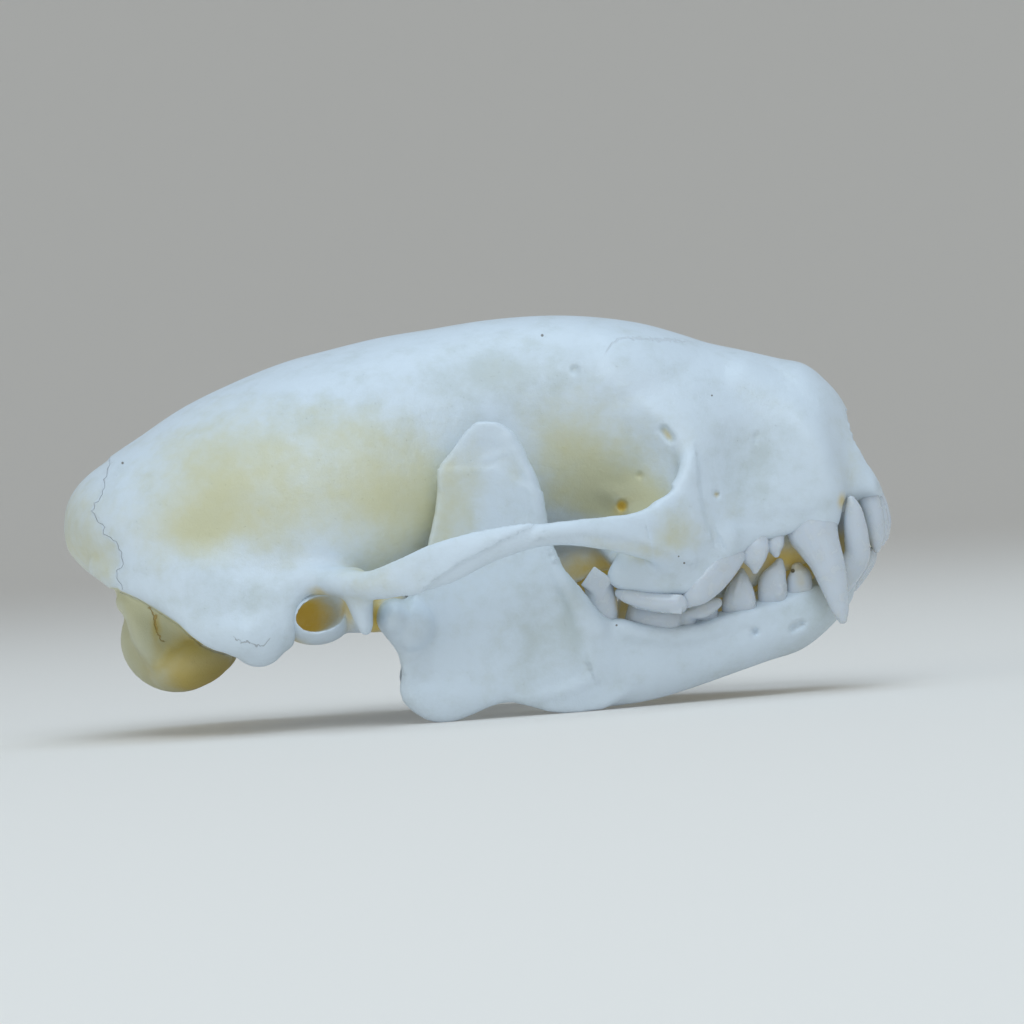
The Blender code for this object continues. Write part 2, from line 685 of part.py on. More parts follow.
def build():
    clear_scene()
    bone, jaw_bone = material("bone", BONE), material("jaw_bone", ENAMEL_BONE)
    cranium = whole_cranium()
    thin_out(cranium, 4400)
    open_the_cranium(cranium)
    keep_largest(cranium)
    nodes = part_cranium(cranium)
    for side_name, side in SIDES.items():
        socket = bulla(side, "socket", swell=GAP)
        thin_out(socket, 300)
        cut(nodes["braincase"], "DIFFERENCE", [socket])
        keep_largest(nodes["braincase"])
        capsule = bulla(side, "ear_capsule_" + side_name)
        thin_out(capsule, 300)
        canal = shape(
            "canal",
            add_limb,
            ((-14.4, 12.0, 9.8, 1.0, 1.2), (-14.8, 15.0, 9.7, 1.5, 1.7), (-14.8, 19.0, 9.7, 1.6, 1.8)),
            side,
            count=12,
            steps=1,
        )
        cut(capsule, "DIFFERENCE", [canal])
        nodes[capsule.name] = capsule
    nodes["occiput"] = part_occiput(nodes["braincase"])
    for side_name, side in SIDES.items():
        set_teeth(
            nodes["face"],
            teeth(side, UPPER_INCISORS, UPPER_CANINE, UPPER_CANINE_BOW, UPPER_CHEEK_CUSPS),
        )
        jaw = jaw_half(side, "jaw_" + side_name)
        set_teeth(
            jaw,
            teeth(side, LOWER_INCISORS, LOWER_CANINE, LOWER_CANINE_BOW, LOWER_CHEEK_CUSPS),
        )
        nodes[jaw.name] = jaw
    stand(nodes.values())
    skull = bpy.data.collections.new("skunk_skull")
    bpy.context.scene.collection.children.link(skull)
    for name, obj in nodes.items():
        bpy.context.scene.collection.objects.unlink(obj)
        skull.objects.link(obj)
        obj.data.name = name
        obj.data.materials.clear()
        obj.data.materials.append(jaw_bone if name.startswith("jaw") else bone)
        obj.data.shade_smooth()
        obj.data.set_sharp_from_angle(angle=math.radians(50))


build()
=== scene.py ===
"""Looks of a life-size striped skunk skull that lies on its shut lower jaw.

Bones and teeth are laid out as the CAD lays them out: x towards the nose, y to the animal's left,
z up, in millimetres, as the right side looks from SIGHT away. dress() gives a finished piece its
markings in that lay-out, and then sets it down where the CAD nodes are.
"""

import math
import random

import bmesh
import bpy
import numpy as np
from bpy.props import FloatProperty, FloatVectorProperty, IntProperty, PointerProperty
from bpy.types import Operator, Panel, PropertyGroup
from mathutils import Euler, Matrix, Vector


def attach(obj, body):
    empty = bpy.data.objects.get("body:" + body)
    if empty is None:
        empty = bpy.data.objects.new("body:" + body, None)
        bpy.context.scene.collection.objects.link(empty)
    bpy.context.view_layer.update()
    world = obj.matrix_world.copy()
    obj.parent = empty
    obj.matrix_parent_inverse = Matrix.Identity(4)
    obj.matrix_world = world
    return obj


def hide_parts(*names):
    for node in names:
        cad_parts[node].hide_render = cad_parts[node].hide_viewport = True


bl_info = {
    "name": "Skunk Skull",
    "version": (1, 0, 0),
    "blender": (4, 5, 0),
    "location": "3D View > Sidebar > Skull",
    "description": "Builds a cleaned skunk skull with its jaw and teeth, and a plain stage for it",
    "category": "Add Mesh",
}

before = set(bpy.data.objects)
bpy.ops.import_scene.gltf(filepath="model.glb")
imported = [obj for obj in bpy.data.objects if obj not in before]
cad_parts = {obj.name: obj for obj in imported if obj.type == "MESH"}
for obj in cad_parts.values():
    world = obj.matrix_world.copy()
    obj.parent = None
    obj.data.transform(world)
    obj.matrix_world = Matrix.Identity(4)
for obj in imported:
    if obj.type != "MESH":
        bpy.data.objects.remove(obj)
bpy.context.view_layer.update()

MM = 0.001
SIGHT = 400.0  # mm from the midline to the eye
SIGHT_YAW = math.radians(1.5)  # how far behind square the eye is
SIGHT_CENTRE = (2.88, 18.9)  # x and z straight ahead of the eye
PICTURE_WIDTH = 92.16  # mm of the midline that the picture spans
SENSOR = 36.0
REST_TILT = math.radians(3.8)
REST_SHIFT = (-0.97, 0.0, -0.88)
SIDES = {"left": 1, "right": -1}
ROUGH_GRAIN = 0.3 * MM  # cells that a bone is first fused in
CAPSULE_GRAIN = 0.2 * MM  # cells that an ear capsule is fused in again
CRANIUM_TRIANGLES = 185000
JAW_TRIANGLES = 90000
TEETH_TRIANGLES = 190000
EVERY_DEPTH = (0, 30)  # mm from the midline, the whole skull

# Braincase and forehead: x, top, underside, half width, height of the widest point, and the
# powers that shape the upper and the lower half of the section.
BRAINCASE = (
    (-37.35, 17.9, 17.1, 0.5, 17.5, 2.0, 2.0),
    (-37.10, 19.5, 15.7, 3.2, 17.5, 2.0, 2.0),
    (-36.25, 21.1, 14.5, 5.9, 17.3, 2.0, 2.0),
    (-35.10, 22.3, 13.4, 8.2, 17.0, 2.0, 2.0),
    (-33.20, 23.7, 12.3, 10.5, 16.5, 2.0, 2.5),
    (-30.50, 25.7, 9.8, 12.6, 15.5, 2.0, 3.0),
    (-26.50, 28.4, 7.0, 14.1, 14.5, 2.05, 3.0),
    (-22.00, 30.6, 7.0, 15.0, 14.5, 2.1, 2.9),
    (-17.50, 32.4, 8.4, 15.3, 15.0, 2.1, 2.6),
    (-13.50, 33.5, 9.3, 15.0, 16.0, 2.1, 2.6),
    (-9.00, 34.6, 10.2, 14.1, 17.5, 2.1, 2.4),
    (-4.50, 35.35, 11.2, 12.6, 19.5, 2.1, 2.3),
    (0.00, 36.1, 12.2, 11.0, 22.0, 2.15, 2.2),
    (4.00, 36.5, 13.0, 10.0, 25.0, 2.2, 2.0),
    (7.50, 36.6, 13.4, 9.7, 27.5, 2.2, 2.0),
    (11.00, 36.4, 13.6, 10.3, 29.5, 2.2, 1.9),
    (14.50, 35.9, 13.8, 10.2, 28.5, 2.2, 2.0),
    (18.50, 34.8, 14.4, 9.3, 27.0, 2.2, 2.0),
    (22.00, 33.6, 15.2, 7.8, 25.0, 2.2, 2.0),
)
# Muzzle and upper jaw, in the same columns.
MUZZLE = (
    (10.3, 35.0, 15.6, 11.4, 18.5, 2.2, 3.0),
    (12.5, 35.4, 13.2, 12.6, 17.0, 2.2, 3.5),
    (15.5, 35.3, 11.8, 13.2, 16.5, 2.2, 3.5),
    (18.4, 34.7, 11.9, 12.9, 17.0, 2.2, 3.5),
    (21.0, 34.05, 14.0, 11.7, 18.0, 2.2, 3.5),
    (23.5, 33.55, 15.4, 10.3, 19.0, 2.2, 3.5),
    (27.0, 32.75, 16.9, 9.2, 20.0, 2.25, 3.5),
    (29.2, 32.3, 17.2, 9.1, 20.3, 2.3, 3.2),
    (31.2, 30.75, 17.9, 8.7, 20.5, 2.3, 3.0),
    (32.4, 29.4, 18.6, 7.4, 20.9, 2.3, 2.6),
    (33.3, 27.8, 19.1, 6.0, 21.3, 2.4, 2.4),
    (34.6, 24.9, 19.7, 5.3, 21.2, 2.5, 2.4),
    (36.0, 21.9, 20.0, 4.4, 20.8, 2.3, 2.4),
    (36.35, 21.1, 20.1, 3.0, 20.5, 2.1, 2.4),
)
# Hollow of the braincase, in the same columns, a bone's thickness inside it.
BRAIN_CAVITY = (
    (-35.2, 18.6, 16.6, 1.2, 17.5, 2.0, 2.0),
    (-34.4, 20.6, 14.9, 4.6, 17.5, 2.0, 2.0),
    (-32.0, 22.6, 13.0, 8.4, 17.3, 2.0, 2.0),
    (-29.0, 24.9, 11.0, 10.9, 16.6, 2.0, 2.1),
    (-24.0, 28.2, 9.8, 13.0, 16.0, 2.0, 2.2),
    (-17.5, 30.7, 10.8, 13.8, 16.5, 2.1, 2.4),
    (-11.0, 32.6, 12.0, 13.1, 18.0, 2.1, 2.3),
    (-5.0, 33.8, 13.6, 11.2, 20.5, 2.1, 2.2),
    (0.0, 34.2, 15.8, 9.2, 23.5, 2.1, 2.0),
    (3.0, 33.0, 19.4, 6.6, 25.5, 2.0, 2.0),
    (4.2, 29.6, 22.8, 3.0, 26.2, 2.0, 2.0),
)
# Vault of the palate, cut from below, in the same columns.
PALATE_VAULT = (
    (8.5, 14.0, 5.0, 4.6, 9.0, 3.0, 2.0),
    (12.0, 14.1, 6.0, 8.0, 10.4, 2.6, 2.0),
    (17.0, 15.0, 7.0, 9.8, 11.6, 2.6, 2.0),
    (21.0, 16.2, 9.0, 8.4, 12.8, 2.6, 2.0),
    (25.0, 17.4, 11.0, 6.6, 14.0, 2.6, 2.0),
    (29.0, 18.4, 13.0, 5.4, 15.5, 2.4, 2.0),
    (33.0, 19.5, 15.5, 3.4, 17.3, 2.2, 2.0),
    (34.6, 19.6, 18.0, 1.6, 18.8, 2.2, 2.0),
)
# Limbs are lofted along a path: x, y, z, half height, half thickness.
CHEEKBONE = (
    (21.6, 9.4, 17.6, 4.0, 1.1),
    (19.7, 11.6, 17.4, 4.6, 1.2),
    (18.1, 13.1, 17.0, 4.3, 1.2),
    (16.4, 14.6, 16.85, 3.25, 1.15),
    (14.2, 16.2, 16.85, 2.2, 1.0),
    (10.8, 17.9, 17.0, 1.55, 0.9),
    (5.9, 19.8, 16.85, 1.1, 0.85),
    (1.0, 21.2, 15.9, 1.6, 0.85),
    (-3.6, 21.8, 14.2, 2.1, 0.85),
    (-7.2, 21.2, 12.95, 1.75, 1.0),
    (-9.8, 19.4, 12.3, 1.35, 1.5),
    (-12.0, 16.8, 12.5, 1.3, 2.2),
    (-14.0, 13.8, 12.8, 1.3, 2.6),
)
NUCHAL_CREST = (
    (-34.4, 7.2, 14.2, 1.2, 0.9),
    (-32.6, 9.6, 13.2, 1.5, 1.0),
    (-30.6, 11.6, 11.8, 1.8, 1.1),
    (-27.5, 13.8, 9.8, 2.0, 1.2),
    (-24.0, 15.2, 8.2, 2.0, 1.4),
    (-20.8, 16.0, 7.7, 2.0, 1.7),
)
MASTOID_PLATE = (
    (-33.2, 8.2, 15.0, 1.6, 1.2),
    (-30.5, 11.0, 13.8, 2.5, 1.5),
    (-27.0, 13.1, 12.2, 3.3, 1.8),
    (-23.5, 14.4, 11.0, 3.8, 1.8),
    (-20.6, 14.9, 10.2, 3.6, 1.8),
    (-18.2, 14.8, 11.3, 2.6, 1.8),
    (-15.4, 14.8, 13.1, 1.1, 1.8),
    (-11.5, 15.6, 12.7, 1.0, 1.6),
)
EAR_CANAL = (
    (-16.1, 11.5, 9.1, 1.1, 1.2),
    (-15.5, 12.8, 9.35, 1.35, 1.9),
    (-14.75, 14.1, 9.6, 1.5, 2.3),
    (-14.2, 15.6, 9.8, 1.55, 2.4),
    (-13.95, 17.0, 9.9, 1.55, 2.2),
    (-13.8, 19.5, 10.0, 1.8, 2.4),
)
# Bone on the inner side of the upper tooth row.
PALATE_EDGE = (
    (30.0, 4.3, 16.6, 2.0, 0.8),
    (27.0, 5.1, 15.6, 2.2, 0.9),
    (24.0, 6.0, 14.2, 2.2, 0.9),
    (21.0, 6.8, 12.9, 2.0, 0.9),
)
# Bone behind the ear opening, and the wedge in front of it.
EAR_BACK = (
    (-17.6, 14.6, 7.5, 1.1, 1.4),
    (-17.9, 15.2, 9.2, 1.6, 1.6),
    (-17.5, 15.3, 11.2, 1.6, 1.5),
    (-16.2, 15.2, 12.7, 1.6, 1.3),
)
EAR_WEDGE = (
    (-11.5, 15.8, 12.6, 1.8, 1.5),
    (-11.3, 16.5, 11.5, 1.5, 1.6),
    (-10.8, 17.0, 10.3, 1.15, 1.5),
    (-10.45, 17.2, 9.2, 0.9, 1.4),
    (-10.3, 17.0, 8.4, 0.75, 1.2),
)
# Lower edge of the plate behind the ear, from the back, x and z. Nothing away from the midline is
# below it.
NUCHAL_EDGE = (
    (-40.0, 12.1), (-32.6, 12.05), (-32.1, 11.9), (-30.6, 11.2), (-28.8, 10.0), (-27.1, 8.9),
    (-26.0, 7.8), (-24.75, 6.9), (-23.8, 6.45), (-22.95, 6.25), (-22.2, 5.9), (-21.4, 4.6),
    (-17.4, 4.2),
)
ALVEOLAR_RIDGE = (
    (31.9, 6.3, 20.4, 1.1, 0.9),
    (30.4, 6.9, 19.1, 1.2, 1.15),
    (28.6, 7.6, 18.3, 1.1, 1.1),
    (26.8, 8.0, 17.7, 1.1, 1.1),
    (24.8, 8.7, 17.2, 1.1, 1.05),
    (23.2, 9.6, 16.5, 1.3, 1.05),
    (21.6, 10.5, 15.5, 1.5, 1.05),
    (20.2, 11.1, 14.2, 1.6, 1.1),
    (18.8, 11.7, 13.0, 1.5, 1.2),
    (17.4, 12.0, 12.6, 1.3, 1.3),
    (15.6, 12.0, 12.6, 1.3, 1.3),
    (13.8, 11.8, 12.9, 1.3, 1.2),
    (12.5, 11.5, 13.3, 1.3, 1.1),
)
ORBIT_CORNER = (
    (18.2, 10.0, 26.2, 0.4, 0.4),
    (18.9, 11.1, 24.2, 0.7, 0.7),
    (18.6, 12.2, 22.2, 1.0, 0.85),
    (17.3, 13.5, 20.0, 1.2, 0.95),
    (15.2, 15.0, 18.0, 1.1, 0.95),
)
POSTGLENOID = (
    (-10.5, 10.4, 10.4, 2.3, 0.8),
    (-10.45, 13.0, 10.3, 2.4, 0.8),
    (-10.4, 15.8, 10.4, 2.45, 0.8),
    (-10.4, 17.2, 10.9, 1.9, 0.8),
    (-10.3, 18.6, 12.2, 1.1, 0.7),
)
PARACONDYLAR = (
    (-30.5, 7.2, 11.2, 2.0, 0.9),
    (-30.0, 7.9, 9.4, 1.9, 0.95),
    (-29.8, 8.5, 7.5, 1.6, 0.95),
    (-29.55, 8.7, 6.3, 1.1, 0.85),
    (-29.4, 8.5, 5.4, 0.6, 0.7),
)
SKULL_BASE = (
    (-16.0, 9.8, 9.8, 1.6, 3.2),
    (-12.0, 11.4, 9.9, 1.9, 3.6),
    (-8.2, 11.2, 10.1, 2.0, 3.0),
)
# The skull base in front of the way out of the braincase, on the midline.
BASE_BRIDGE = (
    (-25.4, 0.0, 6.4, 1.2, 4.5),
    (-22.0, 0.0, 7.5, 1.2, 4.6),
    (-16.0, 0.0, 9.0, 1.2, 4.4),
)
PTERYGOID = (
    (11.0, 4.3, 14.4, 2.0, 0.55),
    (6.0, 4.0, 13.4, 2.2, 0.5),
    (1.0, 3.7, 12.4, 2.1, 0.5),
    (-2.4, 3.5, 11.2, 1.9, 0.5),
    (-4.0, 3.7, 10.0, 0.9, 0.45),
)
NOSE_OPENING = (
    (25.5, 0.6, 23.4, 2.3, 1.9),
    (29.5, 0.9, 24.1, 3.1, 2.5),
    (33.0, 1.0, 24.6, 3.5, 2.9),
    (37.5, 1.1, 24.6, 3.8, 3.2),
)
# The hollow in the lower front corner of the orbit.
ORBIT_POCKET = (
    (7.0, 12.8, 19.3, 1.2, 3.2),
    (11.0, 12.8, 19.6, 1.2, 3.2),
    (14.0, 12.8, 20.0, 1.0, 3.0),
    (16.2, 12.6, 20.75, 0.55, 2.6),
    (17.2, 12.4, 21.2, 0.2, 2.0),
)
# Jaw body, one side.
JAW_BODY = (
    (33.0, 2.4, 12.7, 0.9, 2.3),
    (32.3, 2.6, 11.9, 1.5, 2.8),
    (31.2, 3.0, 11.05, 1.9, 3.1),
    (29.8, 3.7, 10.2, 2.5, 3.0),
    (28.0, 4.6, 9.3, 3.0, 2.7),
    (25.2, 6.1, 8.15, 2.85, 2.15),
    (21.7, 7.4, 7.0, 2.95, 1.85),
    (18.0, 8.5, 5.9, 3.15, 1.85),
    (14.2, 9.7, 5.05, 3.4, 1.8),
    (10.6, 10.8, 5.45, 4.4, 1.6),
    (7.0, 11.8, 6.2, 5.4, 1.1),
)
# Ramus outline in the x-z plane: the front edge up, the coronoid, the notch, the condyle's neck,
# the angle and the lower border.
RAMUS = (
    (12.5, 8.8), (10.6, 9.8), (9.2, 11.2), (8.0, 12.5), (6.9, 13.7), (6.3, 15.2), (6.0, 16.8),
    (5.6, 19.0), (5.0, 21.8), (4.0, 24.7), (2.9, 26.2), (1.7, 27.0), (-0.3, 27.1), (-1.4, 26.1),
    (-2.4, 24.6), (-3.7, 23.1), (-3.8, 22.2), (-3.9, 20.4), (-4.1, 18.8), (-4.8, 15.6), (-5.9, 12.4),
    (-6.8, 10.6), (-8.4, 10.0), (-8.5, 8.0), (-7.3, 6.0), (-7.1, 4.3), (-7.35, 2.9), (-6.95, 1.8),
    (-6.0, 0.9), (-4.8, 0.15), (-3.5, -0.15), (-2.2, 0.0), (-0.8, 0.55), (0.9, 1.3), (3.0, 1.7),
    (5.6, 0.95), (8.0, 0.7), (11.0, 1.1), (13.5, 2.3),
)
RAMUS_HALF_THICKNESS = 0.62
CORONOID_EDGE = (
    (1.6, 13.9, 25.6, 0.6, 0.75),
    (4.2, 13.7, 22.6, 0.7, 0.8),
    (5.2, 13.4, 19.0, 0.75, 0.9),
    (5.6, 13.0, 15.6, 0.8, 1.0),
    (6.5, 12.7, 13.2, 0.85, 1.1),
    (8.3, 12.2, 11.0, 1.0, 1.3),
    (10.4, 11.4, 8.2, 1.3, 1.6),
)
ANGLE_RIDGE = (
    (9.0, 12.0, 2.9, 1.7, 1.0),
    (4.0, 12.9, 3.2, 1.5, 0.9),
    (1.4, 13.3, 3.0, 1.5, 0.9),
    (-1.0, 13.7, 2.2, 1.7, 0.9),
    (-4.0, 14.1, 1.7, 1.7, 0.85),
    (-5.7, 14.3, 2.4, 1.2, 0.75),
)
CONDYLE_NECK = (
    (-2.5, 13.2, 7.8, 2.4, 0.6),
    (-5.4, 13.7, 8.6, 1.8, 0.85),
    (-7.2, 14.0, 9.3, 1.4, 1.8),
)
LOWER_GUM = (
    (12.4, 10.9, 8.5, 0.9, 1.5),
    (14.2, 10.3, 8.0, 0.9, 1.55),
    (16.2, 9.8, 7.8, 0.9, 1.5),
    (18.0, 9.3, 7.8, 0.9, 1.5),
    (20.0, 8.7, 8.1, 0.9, 1.4),
    (22.0, 8.1, 8.8, 0.9, 1.3),
    (24.75, 7.3, 9.5, 0.9, 1.2),
    (27.7, 6.2, 10.3, 0.9, 1.1),
    (29.2, 5.6, 11.1, 0.9, 1.1),
    (30.4, 5.0, 11.6, 0.9, 1.1),
)
JAW_MIDLINE_GAP = 0.05
# The way through the throat, and the way out of the braincase, cut as limbs are.
THROAT = ((12.5, 0, 12.0, 2.8, 3.1), (4.0, 0, 11.4, 3.0, 2.9), (-4.5, 0, 9.0, 2.6, 2.7))
WAY_OUT = ((-25.0, 0, 13.2, 3.4, 4.6), (-28.6, 0, 9.9, 3.5, 4.5), (-34.6, 0, 4.6, 3.9, 4.6))
# Rounded masses of one side: middle, radii and turn about y. The orbits are cut, the others fused.
ORBITS = (
    ((9.5, 17.0, 21.2), (12.3, 8.4, 11.6), 0.0),
    ((8.0, 13.6, 17.6), (7.2, 7.2, 5.0), 0.0),
)
CRANIUM_MASSES = (
    ((15.8, 11.2, 14.4), (3.7, 2.9, 2.6), 0.0),
    ((20.9, 10.0, 16.4), (2.9, 2.1, 2.6), 0.0),
    ((-19.9, 15.0, 8.0), (2.8, 2.4, 3.1), 0.0),
    ((11.6, 7.6, 31.2), (4.2, 2.1, 1.6), 0.3),
    ((30.1, 6.9, 21.0), (2.6, 2.0, 4.9), -0.15),
)
OCCIPITAL_CONDYLE = (
    ((-27.35, 5.7, 7.35), (5.0, 3.1, 4.65), 0.25),
    ((-26.0, 7.0, 5.3), (3.9, 3.6, 2.3), -0.3),
)
EAR_CAPSULE = (
    ((-14.3, 9.6, 10.2), (4.2, 4.3, 2.7), 0.0),
    ((-14.9, 12.6, 9.5), (3.5, 4.1, 2.6), 0.0),
)
JAW_CONDYLE = (
    ((-7.75, 14.4, 9.4), (1.62, 3.2, 1.8), 0.0),
    ((-6.4, 14.2, 8.7), (2.4, 2.0, 2.2), 0.0),
)
# The septum of the nose, and the block between each condyle and the nuchal crest: middle and size.
SEPTUM = ((28.4, 0, 24.2), (6.4, 0.6, 6.8))
CONDYLE_BLOCK = ((-30.7, 3.9, 11.2), (3.8, 6.2, 2.6))
# How the ear canal's half heights lean.
CANAL_UP = (-0.3, 0, 0.95)
# Scrolls of bone in each half of the nose: the middle of the lowest one, and the way to the next.
SCROLL_START = (29.9, 2.0, 22.2)
SCROLL_STEP = (-0.4, -0.08, 1.5)
SCROLL_TURNS = 1.7
SCROLL_ROLL = ((-0.6, -0.1, -0.05), (0.9, 0.1, 0.05))  # least and most that one is rolled

# Teeth of one side. Each is a few tapering limbs: x, y, z, half length, half width for those that
# stand on their root, and x, y, z, half height, half width for the blades, which run along the jaw.
UPPER_TEETH = {
    "incisor_1": [
        ((35.3, 0.80, 20.9, 0.9, 0.60), (36.1, 0.85, 19.3, 0.78, 0.72), (36.5, 0.88, 17.9, 0.62, 0.78),
         (36.45, 0.88, 16.6, 0.42, 0.70)),
    ],
    "incisor_2": [
        ((35.0, 2.25, 20.9, 0.9, 0.62), (35.8, 2.35, 19.3, 0.82, 0.76), (36.2, 2.40, 17.7, 0.70, 0.82),
         (36.15, 2.40, 16.2, 0.44, 0.70)),
    ],
    "incisor_3": [
        ((34.7, 3.50, 21.0, 1.0, 0.66), (35.3, 3.75, 19.4, 0.95, 0.84), (35.65, 3.90, 17.6, 0.88, 0.90),
         (35.75, 3.95, 16.1, 0.62, 0.70), (35.8, 3.95, 15.5, 0.32, 0.40)),
    ],
    "canine": [
        ((28.8, 6.2, 21.6, 1.8, 1.25), (29.7, 6.75, 19.2, 2.25, 1.40), (29.95, 7.15, 17.4, 2.42, 1.50),
         (30.55, 7.50, 15.95, 2.00, 1.38), (31.2, 7.80, 14.6, 1.64, 1.22), (31.8, 8.05, 12.8, 1.36, 1.05),
         (32.3, 8.25, 11.0, 1.02, 0.82), (32.55, 8.30, 9.9, 0.76, 0.62), (32.72, 8.33, 9.2, 0.46, 0.42)),
    ],
    "premolar_2": [
        "crown",
        ((26.6, 7.8, 17.8, 0.75, 0.55), (26.6, 8.1, 16.4, 0.84, 0.68), (26.6, 8.3, 15.6, 0.74, 0.60),
         (26.7, 8.3, 15.15, 0.40, 0.38)),
    ],
    "premolar_3": [
        "crown",
        ((24.65, 8.3, 17.8, 1.0, 0.65), (24.65, 8.8, 16.4, 1.36, 0.84), (24.65, 9.1, 15.3, 1.40, 0.90),
         (24.75, 9.2, 14.5, 1.05, 0.75), (24.8, 9.2, 14.0, 0.64, 0.54), (24.8, 9.2, 13.65, 0.36, 0.36)),
        ((23.75, 8.9, 16.2, 0.65, 0.60), (23.8, 9.2, 15.2, 0.60, 0.60), (23.9, 9.25, 14.8, 0.35, 0.40)),
    ],
    "premolar_4": [
        "blade",
        ((23.35, 9.9, 14.95, 0.70, 0.60), (22.7, 10.3, 14.5, 1.05, 0.80), (21.8, 10.8, 13.8, 1.35, 0.95),
         (20.3, 11.5, 12.35, 1.40, 1.05), (19.2, 11.9, 11.35, 1.10, 1.00), (18.75, 12.0, 11.0, 0.80, 0.85)),
        "peg",
        ((21.9, 8.9, 17.0, 0.9, 1.0), (21.9, 8.6, 14.8, 0.8, 0.9), (21.9, 8.5, 13.6, 0.45, 0.50)),
        ((20.4, 10.6, 14.6, 1.5, 1.0), (20.0, 10.9, 12.6, 1.3, 1.0), (19.6, 11.2, 11.4, 0.9, 0.8)),
    ],
    "molar_1": [
        "blade",
        ((12.7, 11.4, 11.6, 0.50, 0.80), (13.5, 11.9, 11.3, 0.70, 1.10), (14.8, 12.2, 10.95, 0.82, 1.30),
         (16.4, 12.3, 10.7, 0.90, 1.40), (17.9, 12.3, 10.65, 0.90, 1.35)),
        "peg",
        ((14.9, 9.0, 16.0, 1.8, 1.9), (14.9, 8.9, 13.6, 2.0, 2.1), (14.9, 8.8, 12.4, 1.6, 1.7)),
        ((15.0, 10.8, 14.0, 2.2, 1.2), (15.1, 11.0, 12.2, 2.2, 1.4), (15.2, 11.3, 11.3, 2.0, 1.3)),
        "block",
        ((17.75, 12.5, 10.6), (1.0, 1.9, 1.75), 0.06),
    ],
}
LOWER_TEETH = {
    "incisor_1": [
        ((33.4, 0.72, 12.2, 0.70, 0.44), (34.6, 0.74, 13.7, 0.64, 0.50), (35.35, 0.76, 14.9, 0.50, 0.50),
         (35.55, 0.76, 15.5, 0.30, 0.42)),
    ],
    "incisor_2": [
        ((33.3, 1.66, 12.2, 0.70, 0.44), (34.5, 1.72, 13.7, 0.64, 0.52), (35.2, 1.74, 14.9, 0.50, 0.50),
         (35.4, 1.74, 15.5, 0.30, 0.42)),
    ],
    "incisor_3": [
        ((33.2, 2.62, 12.2, 0.70, 0.46), (34.3, 2.72, 13.7, 0.66, 0.54), (35.0, 2.76, 14.8, 0.52, 0.54),
         (35.2, 2.76, 15.4, 0.32, 0.46)),
    ],
    "canine": [
        ((31.0, 4.4, 10.9, 0.90, 1.00), (32.2, 5.1, 12.3, 1.20, 1.10), (33.3, 5.6, 13.8, 1.25, 1.06),
         (34.0, 5.9, 15.0, 1.20, 1.00), (33.95, 6.15, 16.6, 1.14, 0.94), (33.75, 6.30, 18.2, 1.00, 0.80),
         (33.6, 6.40, 19.4, 0.72, 0.58), (33.45, 6.45, 20.1, 0.36, 0.32)),
    ],
    "premolar_2": [
        "crown",
        ((28.8, 5.5, 11.0, 1.15, 0.80), (28.8, 5.7, 12.5, 1.20, 0.90), (28.75, 5.8, 13.4, 1.00, 0.80),
         (28.6, 5.8, 13.9, 0.60, 0.50)),
    ],
    "premolar_3": [
        "crown",
        ((26.3, 6.2, 10.2, 1.15, 0.75), (26.35, 6.6, 11.6, 1.36, 0.90), (26.45, 6.8, 12.8, 1.26, 0.84),
         (26.8, 6.8, 13.7, 0.84, 0.64), (27.0, 6.8, 14.4, 0.42, 0.38)),
        ((27.15, 7.2, 11.6, 0.35, 0.30), (27.1, 7.4, 12.1, 0.30, 0.30)),
        ((26.9, 7.2, 11.4, 0.30, 0.40), (27.1, 7.2, 12.8, 0.28, 0.34), (27.15, 6.9, 14.2, 0.20, 0.24)),
    ],
    "premolar_4": [
        "crown",
        ((23.3, 7.2, 9.4, 1.45, 0.85), (23.35, 7.6, 10.8, 1.56, 0.98), (23.5, 7.8, 12.2, 1.14, 0.80),
         (23.6, 7.8, 13.1, 0.62, 0.52), (23.6, 7.8, 13.6, 0.30, 0.30)),
        ((24.3, 7.9, 10.4, 0.55, 0.40), (24.3, 8.2, 10.8, 0.42, 0.40)),
        ((22.9, 8.2, 10.8, 0.28, 0.45), (23.15, 8.4, 12.0, 0.26, 0.34), (23.55, 8.1, 13.3, 0.20, 0.26)),
    ],
    "molar_1": [
        "crown",
        ((20.1, 7.8, 8.6, 1.2, 1.0), (20.2, 8.2, 10.4, 1.25, 1.10), (20.3, 8.3, 11.8, 0.8, 0.70),
         (20.4, 8.3, 12.5, 0.4, 0.4)),
        ((18.1, 8.4, 7.6, 1.3, 1.1), (18.1, 8.7, 9.8, 1.45, 1.30), (18.1, 8.7, 11.8, 1.0, 0.85),
         (18.1, 8.6, 12.9, 0.5, 0.45)),
        ((15.6, 8.9, 7.6, 2.3, 1.3), (15.6, 9.5, 9.3, 2.6, 1.6), (15.5, 9.5, 10.6, 2.2, 1.3)),
        "blade",
        ((18.6, 9.4, 9.7, 0.55, 0.70), (20.0, 9.6, 10.15, 0.86, 0.86), (21.3, 9.2, 10.7, 0.55, 0.60)),
    ],
    "molar_2": [
        ((11.1, 10.6, 8.8, 1.3, 1.1), (10.95, 10.8, 10.6, 1.45, 1.20), (10.7, 10.9, 12.2, 1.30, 1.10)),
        "block",
        ((10.55, 10.95, 12.55), (2.15, 2.20, 2.10), 0.61),
    ],
}

# The suture in front of the occipital bone, from the crown down to the plate behind the ear, x, z.
OCCIPITAL_SUTURE = (
    (-31.6, 28.0), (-33.3, 23.6), (-33.5, 22.4), (-34.1, 20.2), (-34.9, 19.0), (-33.9, 17.8),
    (-33.8, 16.9), (-32.5, 15.9), (-32.1, 14.6), (-32.6, 13.3), (-32.2, 12.4), (-32.4, 11.7),
)
